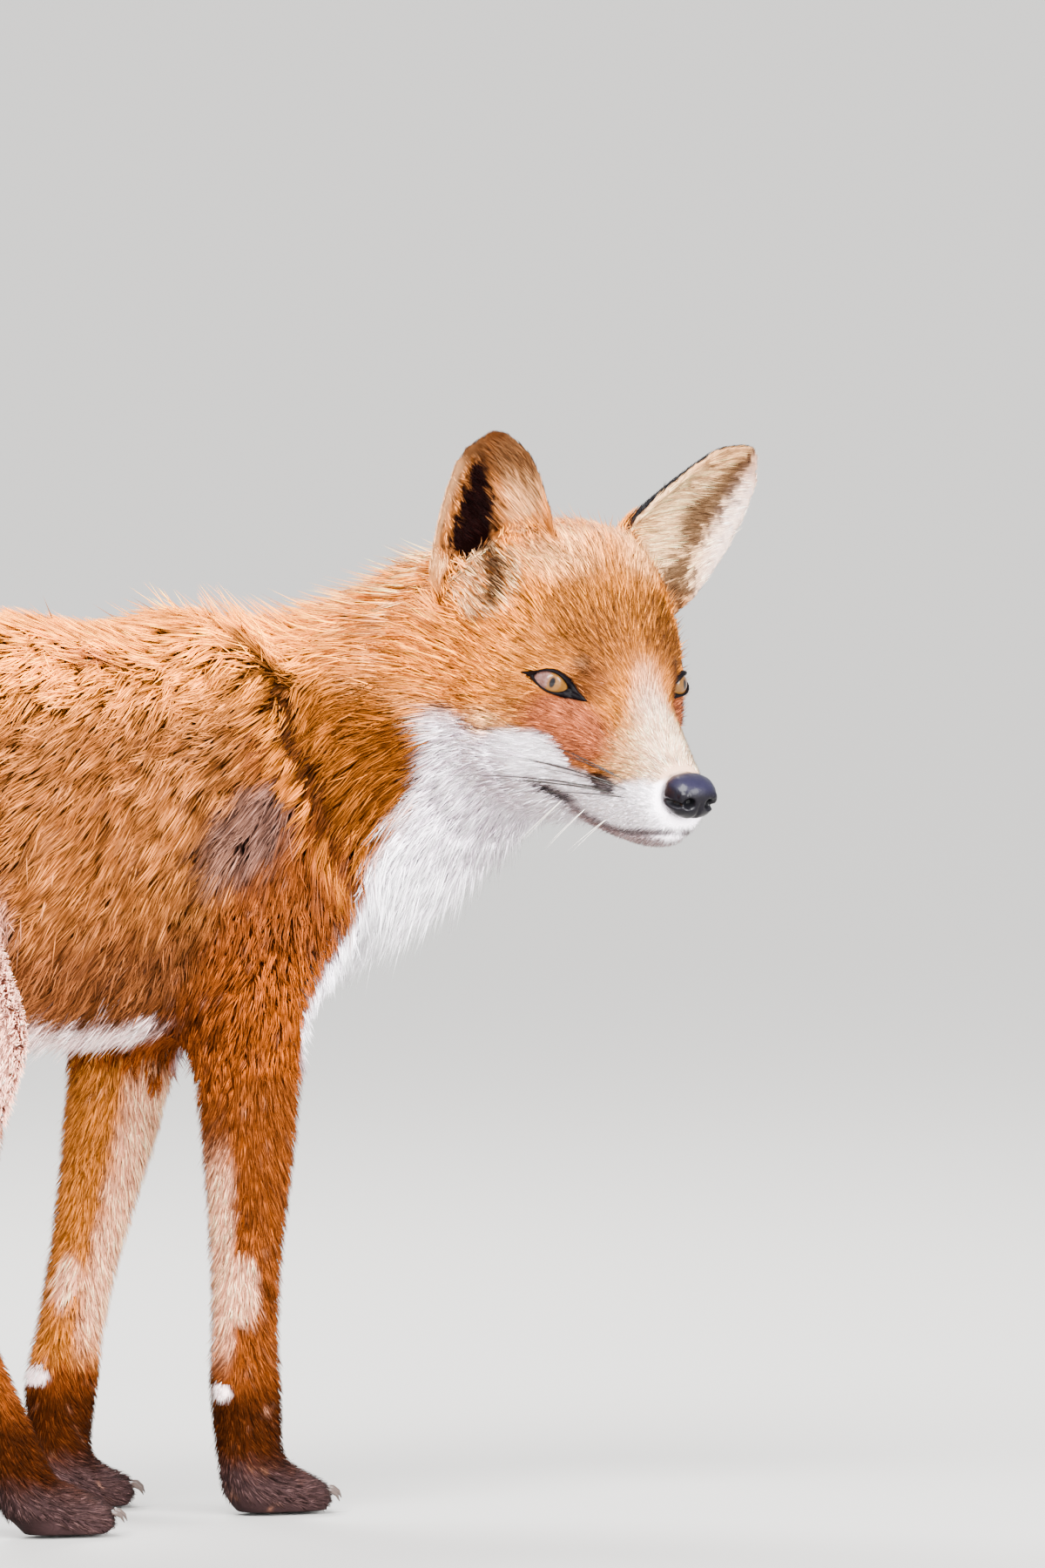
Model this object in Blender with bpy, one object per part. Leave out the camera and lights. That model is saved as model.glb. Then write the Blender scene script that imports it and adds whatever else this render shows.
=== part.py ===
"""Red fox, life size, standing with its head turned to its right: a still model in named solids.

Metres, +Z up. The fox's body faces +X, its left side is +Y, and its paws stand on z = 0.
The solids give the outline of the furred animal. One form is lofted limb by limb, united and
smoothed, and then parted with thin cuts where a person would name its parts.
"""

import math

import bmesh
import bpy
from mathutils import Matrix, Vector

# ---------------------------------------------------------------- driving sizes of the animal
SHOULDER_HEIGHT = 0.409      # withers above the ground, with the coat
BELLY_HEIGHT = 0.212         # underside of the chest above the ground
CROUP_HEIGHT = 0.411         # top of the hindquarters
CHEST_HALF_WIDTH = 0.068
CHEST_X = 0.165              # withers and elbows along the body
HIP_X = -0.150               # middle of the hindquarters
RUMP_X = -0.245              # root of the tail
SPINE_BEND = 0.42            # how far the hindquarters swing to the right, per metre squared

HEAD_TURN = math.radians(-102)   # yaw of the head from the body's axis, to the right
HEAD_PITCH = math.radians(18)    # nose down
HEAD_ROLL = math.radians(2)
EYES_AT = Vector((0.295, -0.163, 0.375))   # the root of the bridge, between the eyes

EYE_RADIUS = 0.0098
EYE_BACK, EYE_OUT, EYE_DOWN = 0.0024, 0.0293, 0.0017    # centre of each eye from the root of the bridge
EAR_LENGTH = 0.083
EAR_HALF_WIDTH = 0.0275
EAR_THICKNESS = 0.0032

GAP = 0.0004                 # clearance left where two solids meet
VOXEL = 0.0030               # grain of the united form
SOLE_SINK = 0.0035           # how far the paws are modelled below the floor before they are cut flat

# Faces kept of the united form, as shares of what each pass works on: the first pass is over the
# whole animal, the second leaves the head out, the third leaves the legs out as well.
WHOLE_KEEP, BODY_KEEP, TRUNK_KEEP = 0.072, 0.52, 0.40

COAT_RED = (0.50, 0.17, 0.055)
COAT_WHITE = (0.80, 0.76, 0.72)
COAT_DARK = (0.09, 0.045, 0.035)
EYE_AMBER = (0.50, 0.33, 0.12)
NOSE_BLACK = (0.02, 0.02, 0.025)


# ---------------------------------------------------------------- small helpers
def material(name, colour, roughness):
    """A Principled material."""
    made = bpy.data.materials.new(name)
    made.use_nodes = True
    shader = made.node_tree.nodes["Principled BSDF"]
    shader.inputs["Base Color"].default_value = (*colour, 1)
    shader.inputs["Roughness"].default_value = roughness
    made.diffuse_color = (*colour, 1)
    return made


def new_object(name, mesh, shown=True):
    """An object in the scene. A hidden one is a guide or a cutter."""
    made = bpy.data.objects.new(name, mesh)
    bpy.context.scene.collection.objects.link(made)
    if not shown:
        made.hide_render = True
        made.display_type = "WIRE"
    return made


def evaluated_mesh(obj):
    """The object's mesh with its modifiers applied."""
    bpy.context.view_layer.update()
    graph = bpy.context.evaluated_depsgraph_get()
    return bpy.data.meshes.new_from_object(obj.evaluated_get(graph))


def apply_modifiers(obj):
    """Replaces the object's mesh by its evaluated one."""
    made = evaluated_mesh(obj)
    obj.modifiers.clear()
    obj.data = made
    return obj


def bend(x):
    """Sideways shift of the spine at x: the hindquarters swing to the fox's right."""
    return -SPINE_BEND * max(0.0, CHEST_X - 0.10 - x) ** 2


def catmull(a, b, c, d, t):
    """Catmull-Rom value between b and c."""
    return 0.5 * (2 * b + (c - a) * t + (2 * a - 5 * b + 4 * c - d) * t * t
                  + (3 * b - a - 3 * c + d) * t ** 3)


def refine(rows, steps):
    """Rows of numbers, with smooth rows set in between."""
    out = []
    last = len(rows) - 1
    for i in range(last):
        a, b, c, d = (rows[max(0, min(last, i + k))] for k in (-1, 0, 1, 2))
        for k in range(steps):
            t = k / steps
            out.append([catmull(*values, t) for values in zip(a, b, c, d)])
    out.append(list(rows[-1]))
    return out


def section(half_width, up, down, squareness, sides):
    """Points (across, height) of a rounded section, higher above its widest line than below or the reverse."""
    points = []
    for k in range(sides):
        angle = 2 * math.pi * k / sides
        c, s = math.cos(angle), math.sin(angle)
        power = 2 / squareness
        across = half_width * math.copysign(abs(c) ** power, c)
        height = (up if s > 0 else down) * math.copysign(abs(s) ** power, s)
        points.append((across, height))
    return points


def loft(form, rows, side, steps=4, sides=24, place=Matrix.Identity(4)):
    """Adds a closed tube to form. A row is x, y, z, half width, up, down, squareness.

    side is the direction of the width. Up is where the tube's way crossed with side points.
    """
    rows = refine(rows, steps)
    centres = [Vector(row[:3]) for row in rows]
    rings = []
    for i, row in enumerate(rows):
        ahead = centres[min(i + 1, len(rows) - 1)] - centres[max(i - 1, 0)]
        ahead.normalize()
        across = (Vector(side) - ahead * ahead.dot(Vector(side))).normalized()
        height = ahead.cross(across)
        ring = [form.verts.new(place @ (centres[i] + across * a + height * h))
                for a, h in section(row[3], row[4], row[5], row[6], sides)]
        rings.append(ring)
    for first, second in zip(rings, rings[1:]):
        for k in range(sides):
            n = (k + 1) % sides
            form.faces.new((first[k], first[n], second[n], second[k]))
    form.faces.new(list(reversed(rings[0])))
    form.faces.new(rings[-1])


def ball(form, centre, radii, place=Matrix.Identity(4), turn=Matrix.Identity(4)):
    """Adds an ellipsoid to form."""
    fit = place @ Matrix.Translation(centre) @ turn @ Matrix.Diagonal((*radii, 1))
    bmesh.ops.create_uvsphere(form, u_segments=14, v_segments=9, radius=1, matrix=fit)


def form_object(name, form):
    """Turns a bmesh of closed shells into a hidden object with its faces out."""
    bmesh.ops.recalc_face_normals(form, faces=form.faces)
    mesh = bpy.data.meshes.new(name)
    form.to_mesh(mesh)
    form.free()
    return new_object(name, mesh, shown=False)


def head_place():
    """From the head's own frame (x to the nose, y to its left, z up) to the world."""
    turn = (Matrix.Rotation(HEAD_TURN, 4, "Z") @ Matrix.Rotation(HEAD_PITCH, 4, "Y")
            @ Matrix.Rotation(-HEAD_ROLL, 4, "X"))
    return Matrix.Translation(EYES_AT) @ turn


# ---------------------------------------------------------------- the parts of the form
def trunk_form(form):
    """Chest, loin and hindquarters in one loft along the spine, with the shoulder blades over it."""
    def row(x, top, bottom, half_width, squareness=2.0):
        middle = top - 0.46 * (top - bottom)
        return (x, bend(x), middle, half_width, top - middle, middle - bottom, squareness)

    loft(form, [
        row(0.298, 0.322, 0.256, 0.022),
        row(0.282, 0.358, 0.228, 0.046),
        row(0.240, 0.392, 0.214, 0.058),
        row(CHEST_X + 0.025, SHOULDER_HEIGHT, BELLY_HEIGHT - 0.004, CHEST_HALF_WIDTH - 0.002, 2.1),
        row(CHEST_X - 0.030, SHOULDER_HEIGHT - 0.007, BELLY_HEIGHT - 0.002, CHEST_HALF_WIDTH, 2.1),
        row(0.070, SHOULDER_HEIGHT + 0.001, BELLY_HEIGHT, CHEST_HALF_WIDTH + 0.003, 2.15),
        row(-0.005, SHOULDER_HEIGHT + 0.006, BELLY_HEIGHT + 0.006, CHEST_HALF_WIDTH, 2.15),
        row(-0.080, SHOULDER_HEIGHT + 0.006, BELLY_HEIGHT + 0.026, 0.060, 2.1),
        row(HIP_X, CROUP_HEIGHT, BELLY_HEIGHT + 0.052, 0.062, 2.1),
        row(-0.210, CROUP_HEIGHT - 0.018, 0.290, 0.054),
        row(RUMP_X, CROUP_HEIGHT - 0.038, 0.322, 0.036),
        row(RUMP_X - 0.016, CROUP_HEIGHT - 0.050, 0.340, 0.016),
    ], side=(0, -1, 0))
    for side in (1, -1):
        ball(form, (CHEST_X + 0.022, side * 0.034, 0.335), (0.050, 0.032, 0.066),
             turn=Matrix.Rotation(math.radians(-22), 4, "Y"))


def neck_form(form):
    """The neck rises out of the chest and curves to the right into the back of the head."""
    loft(form, [
        (0.160, 0.000, 0.330, 0.050, 0.060, 0.080, 2.0),
        (0.214, -0.006, 0.326, 0.058, 0.066, 0.096, 2.0),
        (0.254, -0.026, 0.346, 0.058, 0.062, 0.097, 2.0),
        (0.285, -0.058, 0.368, 0.057, 0.061, 0.084, 2.0),
        (0.300, -0.092, 0.381, 0.055, 0.063, 0.071, 2.0),
        (0.300, -0.110, 0.376, 0.044, 0.050, 0.058, 2.0),
    ], side=(0.35, 1, 0))


def head_form(form):
    """Skull, cheeks and muzzle in one loft, in the head's own frame, with brows and lips added."""
    place = head_place()

    def row(x, half_width, top, widest, bottom, squareness):
        return (x, 0, widest, half_width, top - widest, widest - bottom, squareness)

    loft(form, [
        row(-0.112, 0.026, 0.036, 0.000, -0.036, 2.0),
        row(-0.096, 0.046, 0.055, -0.006, -0.060, 2.0),
        row(-0.070, 0.0575, 0.064, -0.014, -0.074, 1.95),
        row(-0.044, 0.0595, 0.062, -0.022, -0.077, 1.9),
        row(-0.028, 0.0560, 0.0575, -0.023, -0.076, 1.9),
        row(-0.014, 0.0490, 0.0475, -0.023, -0.073, 1.9),
        row(0.004, 0.0370, 0.029, -0.024, -0.069, 1.95),
        row(0.022, 0.0250, 0.009, -0.029, -0.0655, 2.05),
        row(0.042, 0.0195, -0.001, -0.033, -0.0620, 2.15),
        row(0.060, 0.0166, -0.008, -0.034, -0.0570, 2.2),
        row(0.074, 0.0138, -0.0135, -0.031, -0.0480, 2.2),
        row(0.080, 0.0085, -0.020, -0.031, -0.0410, 2.1),
    ], side=(0, 1, 0), steps=4, sides=32, place=place)
    for side in (1, -1):
        # brow, cheek and the padded upper lip
        ball(form, (-0.004, side * 0.0235, 0.0135), (0.017, 0.0115, 0.0085), place=place,
             turn=Matrix.Rotation(side * math.radians(-24), 4, "Z"))
        ball(form, (-0.002, side * 0.0265, -0.0165), (0.024, 0.0105, 0.0105), place=place,
             turn=Matrix.Rotation(side * math.radians(-24), 4, "Z"))
        ball(form, (0.056, side * 0.0095, -0.0335), (0.024, 0.0095, 0.0115), place=place)


def tail_rows():
    """The tail hangs in a soft S behind the hind feet, thickest two thirds of the way down."""
    root = Vector((RUMP_X + 0.024, bend(RUMP_X), CROUP_HEIGHT - 0.052))
    # way of each stretch: degrees below the horizontal, its length, and the brush's radius at its end
    stretches = ((20, 0.045, 0.031), (48, 0.062, 0.037), (64, 0.080, 0.044), (58, 0.080, 0.047),
                 (44, 0.070, 0.043), (32, 0.050, 0.030), (26, 0.026, 0.009))
    rows = [(*root, 0.030, 0.030, 0.030, 2.0)]
    at = root.copy()
    for drop, length, radius in stretches:
        way = math.radians(drop)
        at = at + Vector((-math.cos(way), 0.10 * math.cos(way), -math.sin(way))) * length
        rows.append((*at, radius, radius, radius, 2.0))
    return rows


def paw_form(form, ball_of_foot, heading, length, half_width):
    """A paw: the pad, and four toes side by side, the middle two longest."""
    place = Matrix.Translation((ball_of_foot[0], ball_of_foot[1], 0)) @ Matrix.Rotation(heading, 4, "Z")
    sole = -SOLE_SINK
    ball(form, (-0.002, 0, sole + 0.014), (0.46 * length, 0.92 * half_width, 0.0155), place=place)
    for across, reach in ((-1.5, 0.20), (-0.5, 0.40), (0.5, 0.40), (1.5, 0.20)):
        toe_y = across * 0.50 * half_width
        ball(form, (reach * length, toe_y, sole + 0.0105), (0.30 * length, 0.29 * half_width, 0.0115),
             place=place, turn=Matrix.Rotation(across * math.radians(7), 4, "Z"))


def foreleg_form(form, side, elbow, wrist, foot):
    """Upper arm, forearm and wrist down to the paw. side is 1 for the left leg and -1 for the right."""
    elbow, wrist, foot = Vector(elbow), Vector(wrist), Vector(foot)
    forearm = elbow.lerp(wrist, 0.35)
    low = elbow.lerp(wrist, 0.72)
    pastern = wrist.lerp(foot, 0.62)
    loft(form, [
        (CHEST_X + 0.062, side * 0.040, 0.322, 0.020, 0.026, 0.030, 2.0),
        (CHEST_X + 0.044, side * 0.047, 0.268, 0.027, 0.038, 0.050, 2.0),
        (elbow.x + 0.002, elbow.y, elbow.z + 0.010, 0.0255, 0.029, 0.035, 2.0),
        (*forearm, 0.0215, 0.0235, 0.0255, 2.0),
        (*low, 0.0170, 0.0175, 0.0200, 2.0),
        (*wrist, 0.0165, 0.0170, 0.0185, 2.1),
        (*pastern, 0.0155, 0.0150, 0.0160, 2.1),
        (foot.x + 0.002, foot.y, 0.012, 0.0160, 0.0150, 0.0150, 2.1),
    ], side=(0, 1, 0))
    # the stopper pad behind the wrist
    ball(form, (wrist.x - 0.0165, wrist.y + side * 0.004, wrist.z - 0.012), (0.0060, 0.0070, 0.0080))
    paw_form(form, (foot.x + 0.012, foot.y), side * math.radians(-2), 0.050, 0.0200)


def hindleg_form(form, side, hip, knee, hock, foot):
    """Thigh, shank and the long hind foot down to the toes."""
    hip, knee, hock, foot = Vector(hip), Vector(knee), Vector(hock), Vector(foot)
    thigh = hip.lerp(knee, 0.55)
    calf = knee.lerp(hock, 0.40)
    low = knee.lerp(hock, 0.80)
    metatarsus = hock.lerp(foot, 0.45)
    loft(form, [
        (hip.x - 0.010, hip.y, hip.z + 0.042, 0.030, 0.056, 0.052, 2.0),
        (hip.x - 0.004, hip.y, hip.z, 0.038, 0.068, 0.074, 2.0),
        (*thigh, 0.036, 0.054, 0.064, 2.0),
        (*knee, 0.027, 0.028, 0.043, 2.0),
        (*calf, 0.0205, 0.0225, 0.0265, 2.0),
        (*low, 0.0145, 0.0165, 0.0185, 2.0),
        (*hock, 0.0150, 0.0175, 0.0185, 2.0),
        (*metatarsus, 0.0145, 0.0155, 0.0150, 2.1),
        (foot.x, foot.y, 0.013, 0.0150, 0.0150, 0.0150, 2.1),
    ], side=(0, 1, 0))
    paw_form(form, (foot.x + 0.014, foot.y), side * math.radians(4), 0.047, 0.0185)


# Joints of the legs: the right foreleg stands straight, the left slants back, the right hind leg
# is brought forward under the belly and the left stays behind.
FORELEGS = {
    "right": dict(side=-1, elbow=(0.182, -0.048, 0.222), wrist=(0.180, -0.046, 0.068), foot=(0.183, -0.046, 0.010)),
    "left": dict(side=1, elbow=(0.192, 0.042, 0.222), wrist=(0.147, 0.038, 0.070), foot=(0.139, 0.038, 0.010)),
}
HINDLEGS = {
    "right": dict(side=-1, hip=(-0.112, -0.066, 0.322), knee=(-0.006, -0.074, 0.232),
                  hock=(-0.030, -0.076, 0.112), foot=(0.026, -0.076, 0.012)),
    "left": dict(side=1, hip=(-0.140, 0.024, 0.320), knee=(-0.080, 0.042, 0.222),
                 hock=(-0.200, 0.048, 0.132), foot=(-0.186, 0.048, 0.012)),
}


def united_form():
    """The whole animal as one closed, smoothed shell, without ears, eyes and nose."""
    form = bmesh.new()
    trunk_form(form)
    neck_form(form)
    head_form(form)
    loft(form, tail_rows(), side=(0, -1, 0))
    for joints in FORELEGS.values():
        foreleg_form(form, **joints)
    for joints in HINDLEGS.values():
        hindleg_form(form, **joints)
    whole = form_object("form", form)
    remesh = whole.modifiers.new("Unite", "REMESH")
    remesh.mode = "VOXEL"
    remesh.voxel_size = VOXEL
    apply_modifiers(whole)
    smooth_by_region(whole)
    thin_out(whole)
    return whole


def head_share(point):
    """1 on the head, 0 on the body, for a world point."""
    local = head_place().inverted() @ point
    return max(0.0, min(1.0, (local.x + 0.100) / 0.030)) if abs(local.y) < 0.09 and local.z > -0.10 else 0.0


def smooth_by_region(whole):
    """Blends where limbs meet the body strongly, and the head and paws only lightly."""
    group = whole.vertex_groups.new(name="blend")
    for vertex in whole.data.vertices:
        low = max(0.0, min(1.0, (vertex.co.z - 0.030) / 0.150))
        weight = (1 - head_share(vertex.co)) * (0.15 + 0.85 * low)
        group.add([vertex.index], weight, "REPLACE")
    strong = whole.modifiers.new("Blend", "SMOOTH")
    strong.factor, strong.iterations, strong.vertex_group = 0.6, 22, "blend"
    light = whole.modifiers.new("Grain", "SMOOTH")
    light.factor, light.iterations = 0.5, 3
    apply_modifiers(whole)


def thin_out(whole):
    """Keeps the faces where they are needed: most on the head, fewest on the trunk and tail."""
    def on_body(point):
        return head_share(point) < 0.3

    def on_trunk(point):
        return on_body(point) and (point.z > 0.20 or point.x < -0.225)

    bpy.context.view_layer.objects.active = whole
    whole.select_set(True)
    for chosen, keep in ((lambda point: True, WHOLE_KEEP), (on_body, BODY_KEEP), (on_trunk, TRUNK_KEEP)):
        flags = [chosen(vertex.co) for vertex in whole.data.vertices]
        for group in (whole.data.edges, whole.data.polygons):
            for item in group:
                item.select = all(flags[i] for i in item.vertices)
        for vertex in whole.data.vertices:
            vertex.select = flags[vertex.index]
        bpy.ops.object.mode_set(mode="EDIT")
        bpy.ops.mesh.select_mode(type="VERT")
        bpy.ops.mesh.decimate(ratio=keep)
        bpy.ops.object.mode_set(mode="OBJECT")
    whole.select_set(False)


# ---------------------------------------------------------------- ears, eyes and nose
def ear_object(name, base, tip, facing):
    """A thin cupped leaf. base and tip are in the head's frame, facing is where the cup opens."""
    base, tip, facing = Vector(base), Vector(tip), Vector(facing)
    axis = (tip - base).normalized()
    facing = (facing - axis * axis.dot(facing)).normalized()
    across = axis.cross(facing)
    rise, spread = 9, 6
    form = bmesh.new()
    grid = []
    for i in range(rise + 1):
        v = i / rise
        half_width = EAR_HALF_WIDTH * (max(0.0, 1 - v ** 2.1) ** 0.55 - 0.18 * max(0.0, 1 - v / 0.22) ** 2) + 0.0022
        cup = math.radians(84 - 44 * v)
        radius = half_width / math.sin(cup)
        centre = base + axis * (EAR_LENGTH * v)
        line = []
        for j in range(spread + 1):
            angle = cup * (2 * j / spread - 1)
            out = across * (radius * math.sin(angle)) - facing * (radius * (math.cos(angle) - math.cos(cup)))
            line.append(form.verts.new(head_place() @ (centre + out)))
        grid.append(line)
    for low, high in zip(grid, grid[1:]):
        for j in range(spread):
            form.faces.new((low[j], low[j + 1], high[j + 1], high[j]))
    made = form_object(name, form)
    wall = made.modifiers.new("Wall", "SOLIDIFY")
    wall.thickness, wall.offset, wall.use_even_offset = EAR_THICKNESS, 0.0, False
    apply_modifiers(made)
    repair = bmesh.new()
    repair.from_mesh(made.data)
    bmesh.ops.recalc_face_normals(repair, faces=repair.faces)
    repair.to_mesh(made.data)
    repair.free()
    made.hide_render = False
    made.display_type = "TEXTURED"
    return made


EARS = {
    "ear_right": dict(base=(-0.044, -0.040, 0.018), tip=(-0.052, -0.053, 0.100), facing=(0.86, -0.50, 0.0)),
    "ear_left": dict(base=(-0.044, 0.036, 0.028), tip=(-0.052, 0.087, 0.096), facing=(0.95, 0.22, 0.10)),
}


def eyeball(name, side, radius, shown):
    """A sphere in its socket."""
    form = bmesh.new()
    ball(form, (-EYE_BACK, side * EYE_OUT, -EYE_DOWN), (radius,) * 3, place=head_place())
    made = form_object(name, form)
    made.hide_render = not shown
    made.display_type = "TEXTURED" if shown else "WIRE"
    return made


def nose_object(name, grow, shown):
    """The bare nose pad, a rounded block wider than high."""
    form = bmesh.new()
    rows = [(0.0715, 0.006, 0.005), (0.0735, 0.0105, 0.0085), (0.0785, 0.0125, 0.0103),
            (0.0845, 0.0113, 0.0095), (0.0885, 0.0080, 0.0065), (0.0900, 0.0035, 0.0030)]
    loft(form, [(x - (grow if x < 0.072 else 0), 0, -0.0255, w + grow, h + grow, h + grow, 2.3)
                for x, w, h in rows], side=(0, 1, 0), steps=2, sides=14, place=head_place())
    made = form_object(name, form)
    made.hide_render = not shown
    made.display_type = "TEXTURED" if shown else "WIRE"
    return made


# ---------------------------------------------------------------- parting the form
def cut_with(obj, cutter, name, crosses_itself=False):
    """Takes the cutter out of the object. A cutter grown along its normals can cross itself."""
    cut = obj.modifiers.new(name, "BOOLEAN")
    cut.operation = "DIFFERENCE"
    cut.solver = "EXACT"
    cut.use_self = crosses_itself
    cut.object = cutter
    apply_modifiers(obj)


def disc(name, centre, normal, half_width, half_height):
    """A thin oval cutter across a limb, as wide as half_width along the ground."""
    form = bmesh.new()
    normal = Vector(normal).normalized()
    level = normal.cross(Vector((0, 0, 1))) if abs(normal.z) < 0.99 else Vector((0, 1, 0))
    level.normalize()
    rise = normal.cross(level)
    turn = Matrix((level, rise, normal)).transposed().to_4x4()
    fit = Matrix.Translation(centre) @ turn @ Matrix.Diagonal((half_width, half_height, 1, 1))
    bmesh.ops.create_cone(form, cap_ends=True, segments=32, radius1=1, radius2=1, depth=GAP, matrix=fit)
    return form_object(name, form)


def cuts():
    """Where the form is parted: a point in the limb, the cut's normal, its half width and half height."""
    place = head_place()
    turn = place.to_3x3()
    tail = [Vector(row[:3]) for row in tail_rows()]
    found = {
        "nape": (place @ Vector((-0.084, -0.004, -0.014)), turn @ Vector((1, 0.2, 0.45)), 0.100, 0.116),
        "neck_base": (Vector((0.226, -0.012, 0.335)), Vector((0.93, -0.25, 0.42)), 0.092, 0.150),
        "tail_root": (tail[1].lerp(tail[2], 0.15), tail[2] - tail[0], 0.056, 0.056),
        "tail_middle": (tail[3], tail[4] - tail[2], 0.066, 0.066),
        "tail_end": (tail[5].lerp(tail[4], 0.35), tail[6] - tail[4], 0.066, 0.066),
    }
    for name, leg in FORELEGS.items():
        elbow, wrist = Vector(leg["elbow"]), Vector(leg["wrist"])
        found["elbow_" + name] = (elbow + Vector((0.002, leg["side"] * 0.002, -0.024)), elbow - wrist, 0.040, 0.044)
        found["wrist_" + name] = (wrist + Vector((0, 0, -0.002)), Vector((0, 0, 1)), 0.032, 0.032)
    for name, leg in HINDLEGS.items():
        hip, knee, hock, foot = (Vector(leg[k]) for k in ("hip", "knee", "hock", "foot"))
        found["stifle_" + name] = (knee.lerp(hock, 0.42), knee - hock, 0.036, 0.038)
        found["hock_" + name] = (hock.lerp(foot, 0.12), hock - foot, 0.032, 0.032)
    return found


def landmarks():
    """A point inside each flesh node, by which the loose pieces are named after the cuts."""
    place = head_place()
    tail = [Vector(row[:3]) for row in tail_rows()]
    found = {
        "head": place @ Vector((-0.030, 0, 0)),
        "neck": Vector((0.268, -0.045, 0.370)),
        "trunk": Vector((0.020, bend(0.020), 0.310)),
        "tail_base": tail[2],
        "tail_brush": tail[4],
        "tail_tip": tail[6],
    }
    for name, leg in FORELEGS.items():
        found["foreleg_" + name] = Vector(leg["elbow"]).lerp(Vector(leg["wrist"]), 0.5)
        found["forepaw_" + name] = Vector(leg["foot"])
    for name, leg in HINDLEGS.items():
        found["hindleg_" + name] = Vector(leg["knee"]).lerp(Vector(leg["hock"]), 0.75)
        found["hindfoot_" + name] = Vector(leg["hock"]).lerp(Vector(leg["foot"]), 0.7)
    return found


def islands(mesh):
    """The separate closed bodies in a mesh, as bmeshes with their middles."""
    source = bmesh.new()
    source.from_mesh(mesh)
    source.verts.ensure_lookup_table()
    seen, found = set(), []
    for start in source.verts:
        if start.index in seen:
            continue
        stack, members = [start], []
        seen.add(start.index)
        while stack:
            vertex = stack.pop()
            members.append(vertex)
            for edge in vertex.link_edges:
                other = edge.other_vert(vertex)
                if other.index not in seen:
                    seen.add(other.index)
                    stack.append(other)
        found.append(members)
    bodies = []
    for members in found:
        body = bmesh.new()
        new = {vertex.index: body.verts.new(vertex.co) for vertex in members}
        for face in source.faces:
            if face.verts[0].index in new:
                body.faces.new([new[vertex.index] for vertex in face.verts])
        middle = sum((vertex.co for vertex in members), Vector()) / len(members)
        bodies.append((body, middle, len(members)))
    source.free()
    return bodies


def largest_body(obj):
    """Keeps only the largest closed body of a mesh."""
    bodies = sorted(islands(obj.data), key=lambda body: body[2], reverse=True)
    bodies[0][0].to_mesh(obj.data)
    for body in bodies:
        body[0].free()


def part_form(whole, finishes):
    """Cuts the form and makes one object of each loose piece."""
    for name, shape in cuts().items():
        cutter = disc("cut_" + name, *shape)
        cut_with(whole, cutter, name)
        bpy.data.objects.remove(cutter)
    named = landmarks()
    nodes = {}
    for body, middle, size in islands(whole.data):
        name = min(named, key=lambda key: (named[key] - middle).length)
        if size < 20:
            body.free()
            continue
        if name in nodes:
            raise ValueError(f"two pieces would be {name}: a cut has missed")
        mesh = bpy.data.meshes.new(name)
        body.to_mesh(mesh)
        body.free()
        nodes[name] = new_object(name, mesh)
        mesh.materials.append(finishes["white"] if name == "tail_tip" else
                              finishes["dark"] if "paw" in name else finishes["red"])
    missing = set(named) - set(nodes)
    if missing:
        raise ValueError(f"no piece was found for {sorted(missing)}")
    bpy.data.objects.remove(whole)
    return nodes


def inflated(obj, distance):
    """A hidden copy of obj, grown by distance along its normals, to cut a neighbour with clearance."""
    copy = new_object(obj.name + "_grown", obj.data.copy(), shown=False)
    grow = copy.modifiers.new("Grow", "DISPLACE")
    grow.strength, grow.mid_level = distance, 0.0
    return apply_modifiers(copy)


def flat_soles(whole):
    """Cuts the paws level with the floor."""
    form = bmesh.new()
    bmesh.ops.create_cube(form, size=1, matrix=Matrix.Translation((0, 0, -0.05)) @ Matrix.Diagonal((2, 1, 0.1, 1)))
    floor = form_object("floor_cut", form)
    cut_with(whole, floor, "Soles")
    bpy.data.objects.remove(floor)


def centre_on_origin(objects):
    """Puts the middle of the footprint's box at x = y = 0."""
    points = [obj.matrix_world @ vertex.co for obj in objects for vertex in obj.data.vertices]
    shift = Vector((-(min(p.x for p in points) + max(p.x for p in points)) / 2,
                    -(min(p.y for p in points) + max(p.y for p in points)) / 2, 0))
    for obj in objects:
        obj.data.transform(Matrix.Translation(shift))
    return shift


def build():
    """Makes the fox."""
    for obj in list(bpy.data.objects):
        bpy.data.objects.remove(obj)
    finishes = {
        "red": material("red_coat", COAT_RED, 0.75),
        "white": material("white_coat", COAT_WHITE, 0.75),
        "dark": material("dark_coat", COAT_DARK, 0.7),
        "eye": material("eye", EYE_AMBER, 0.08),
        "nose": material("nose_leather", NOSE_BLACK, 0.35),
    }
    whole = united_form()
    ear_seat = inflated(whole, GAP)
    flat_soles(whole)
    nodes = part_form(whole, finishes)
    head = nodes["head"]
    for name, shape in EARS.items():
        ear = ear_object(name, **shape)
        cut_with(ear, ear_seat, "Seat", crosses_itself=True)
        largest_body(ear)
        ear.data.materials.clear()
        ear.data.materials.append(finishes["red"])
        nodes[name] = ear
    bpy.data.objects.remove(ear_seat)
    for name, side in (("eye_right", -1), ("eye_left", 1)):
        socket = eyeball(name + "_socket", side, EYE_RADIUS + GAP, shown=False)
        cut_with(head, socket, "Socket")
        bpy.data.objects.remove(socket)
        nodes[name] = eyeball(name, side, EYE_RADIUS, shown=True)
        nodes[name].data.materials.append(finishes["eye"])
    seat = nose_object("nose_seat", GAP, shown=False)
    cut_with(head, seat, "Nose seat")
    bpy.data.objects.remove(seat)
    nodes["nose"] = nose_object("nose", 0.0, shown=True)
    nodes["nose"].data.materials.append(finishes["nose"])
    for obj in nodes.values():
        obj.data.shade_smooth()
    centre_on_origin(list(nodes.values()))


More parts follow.
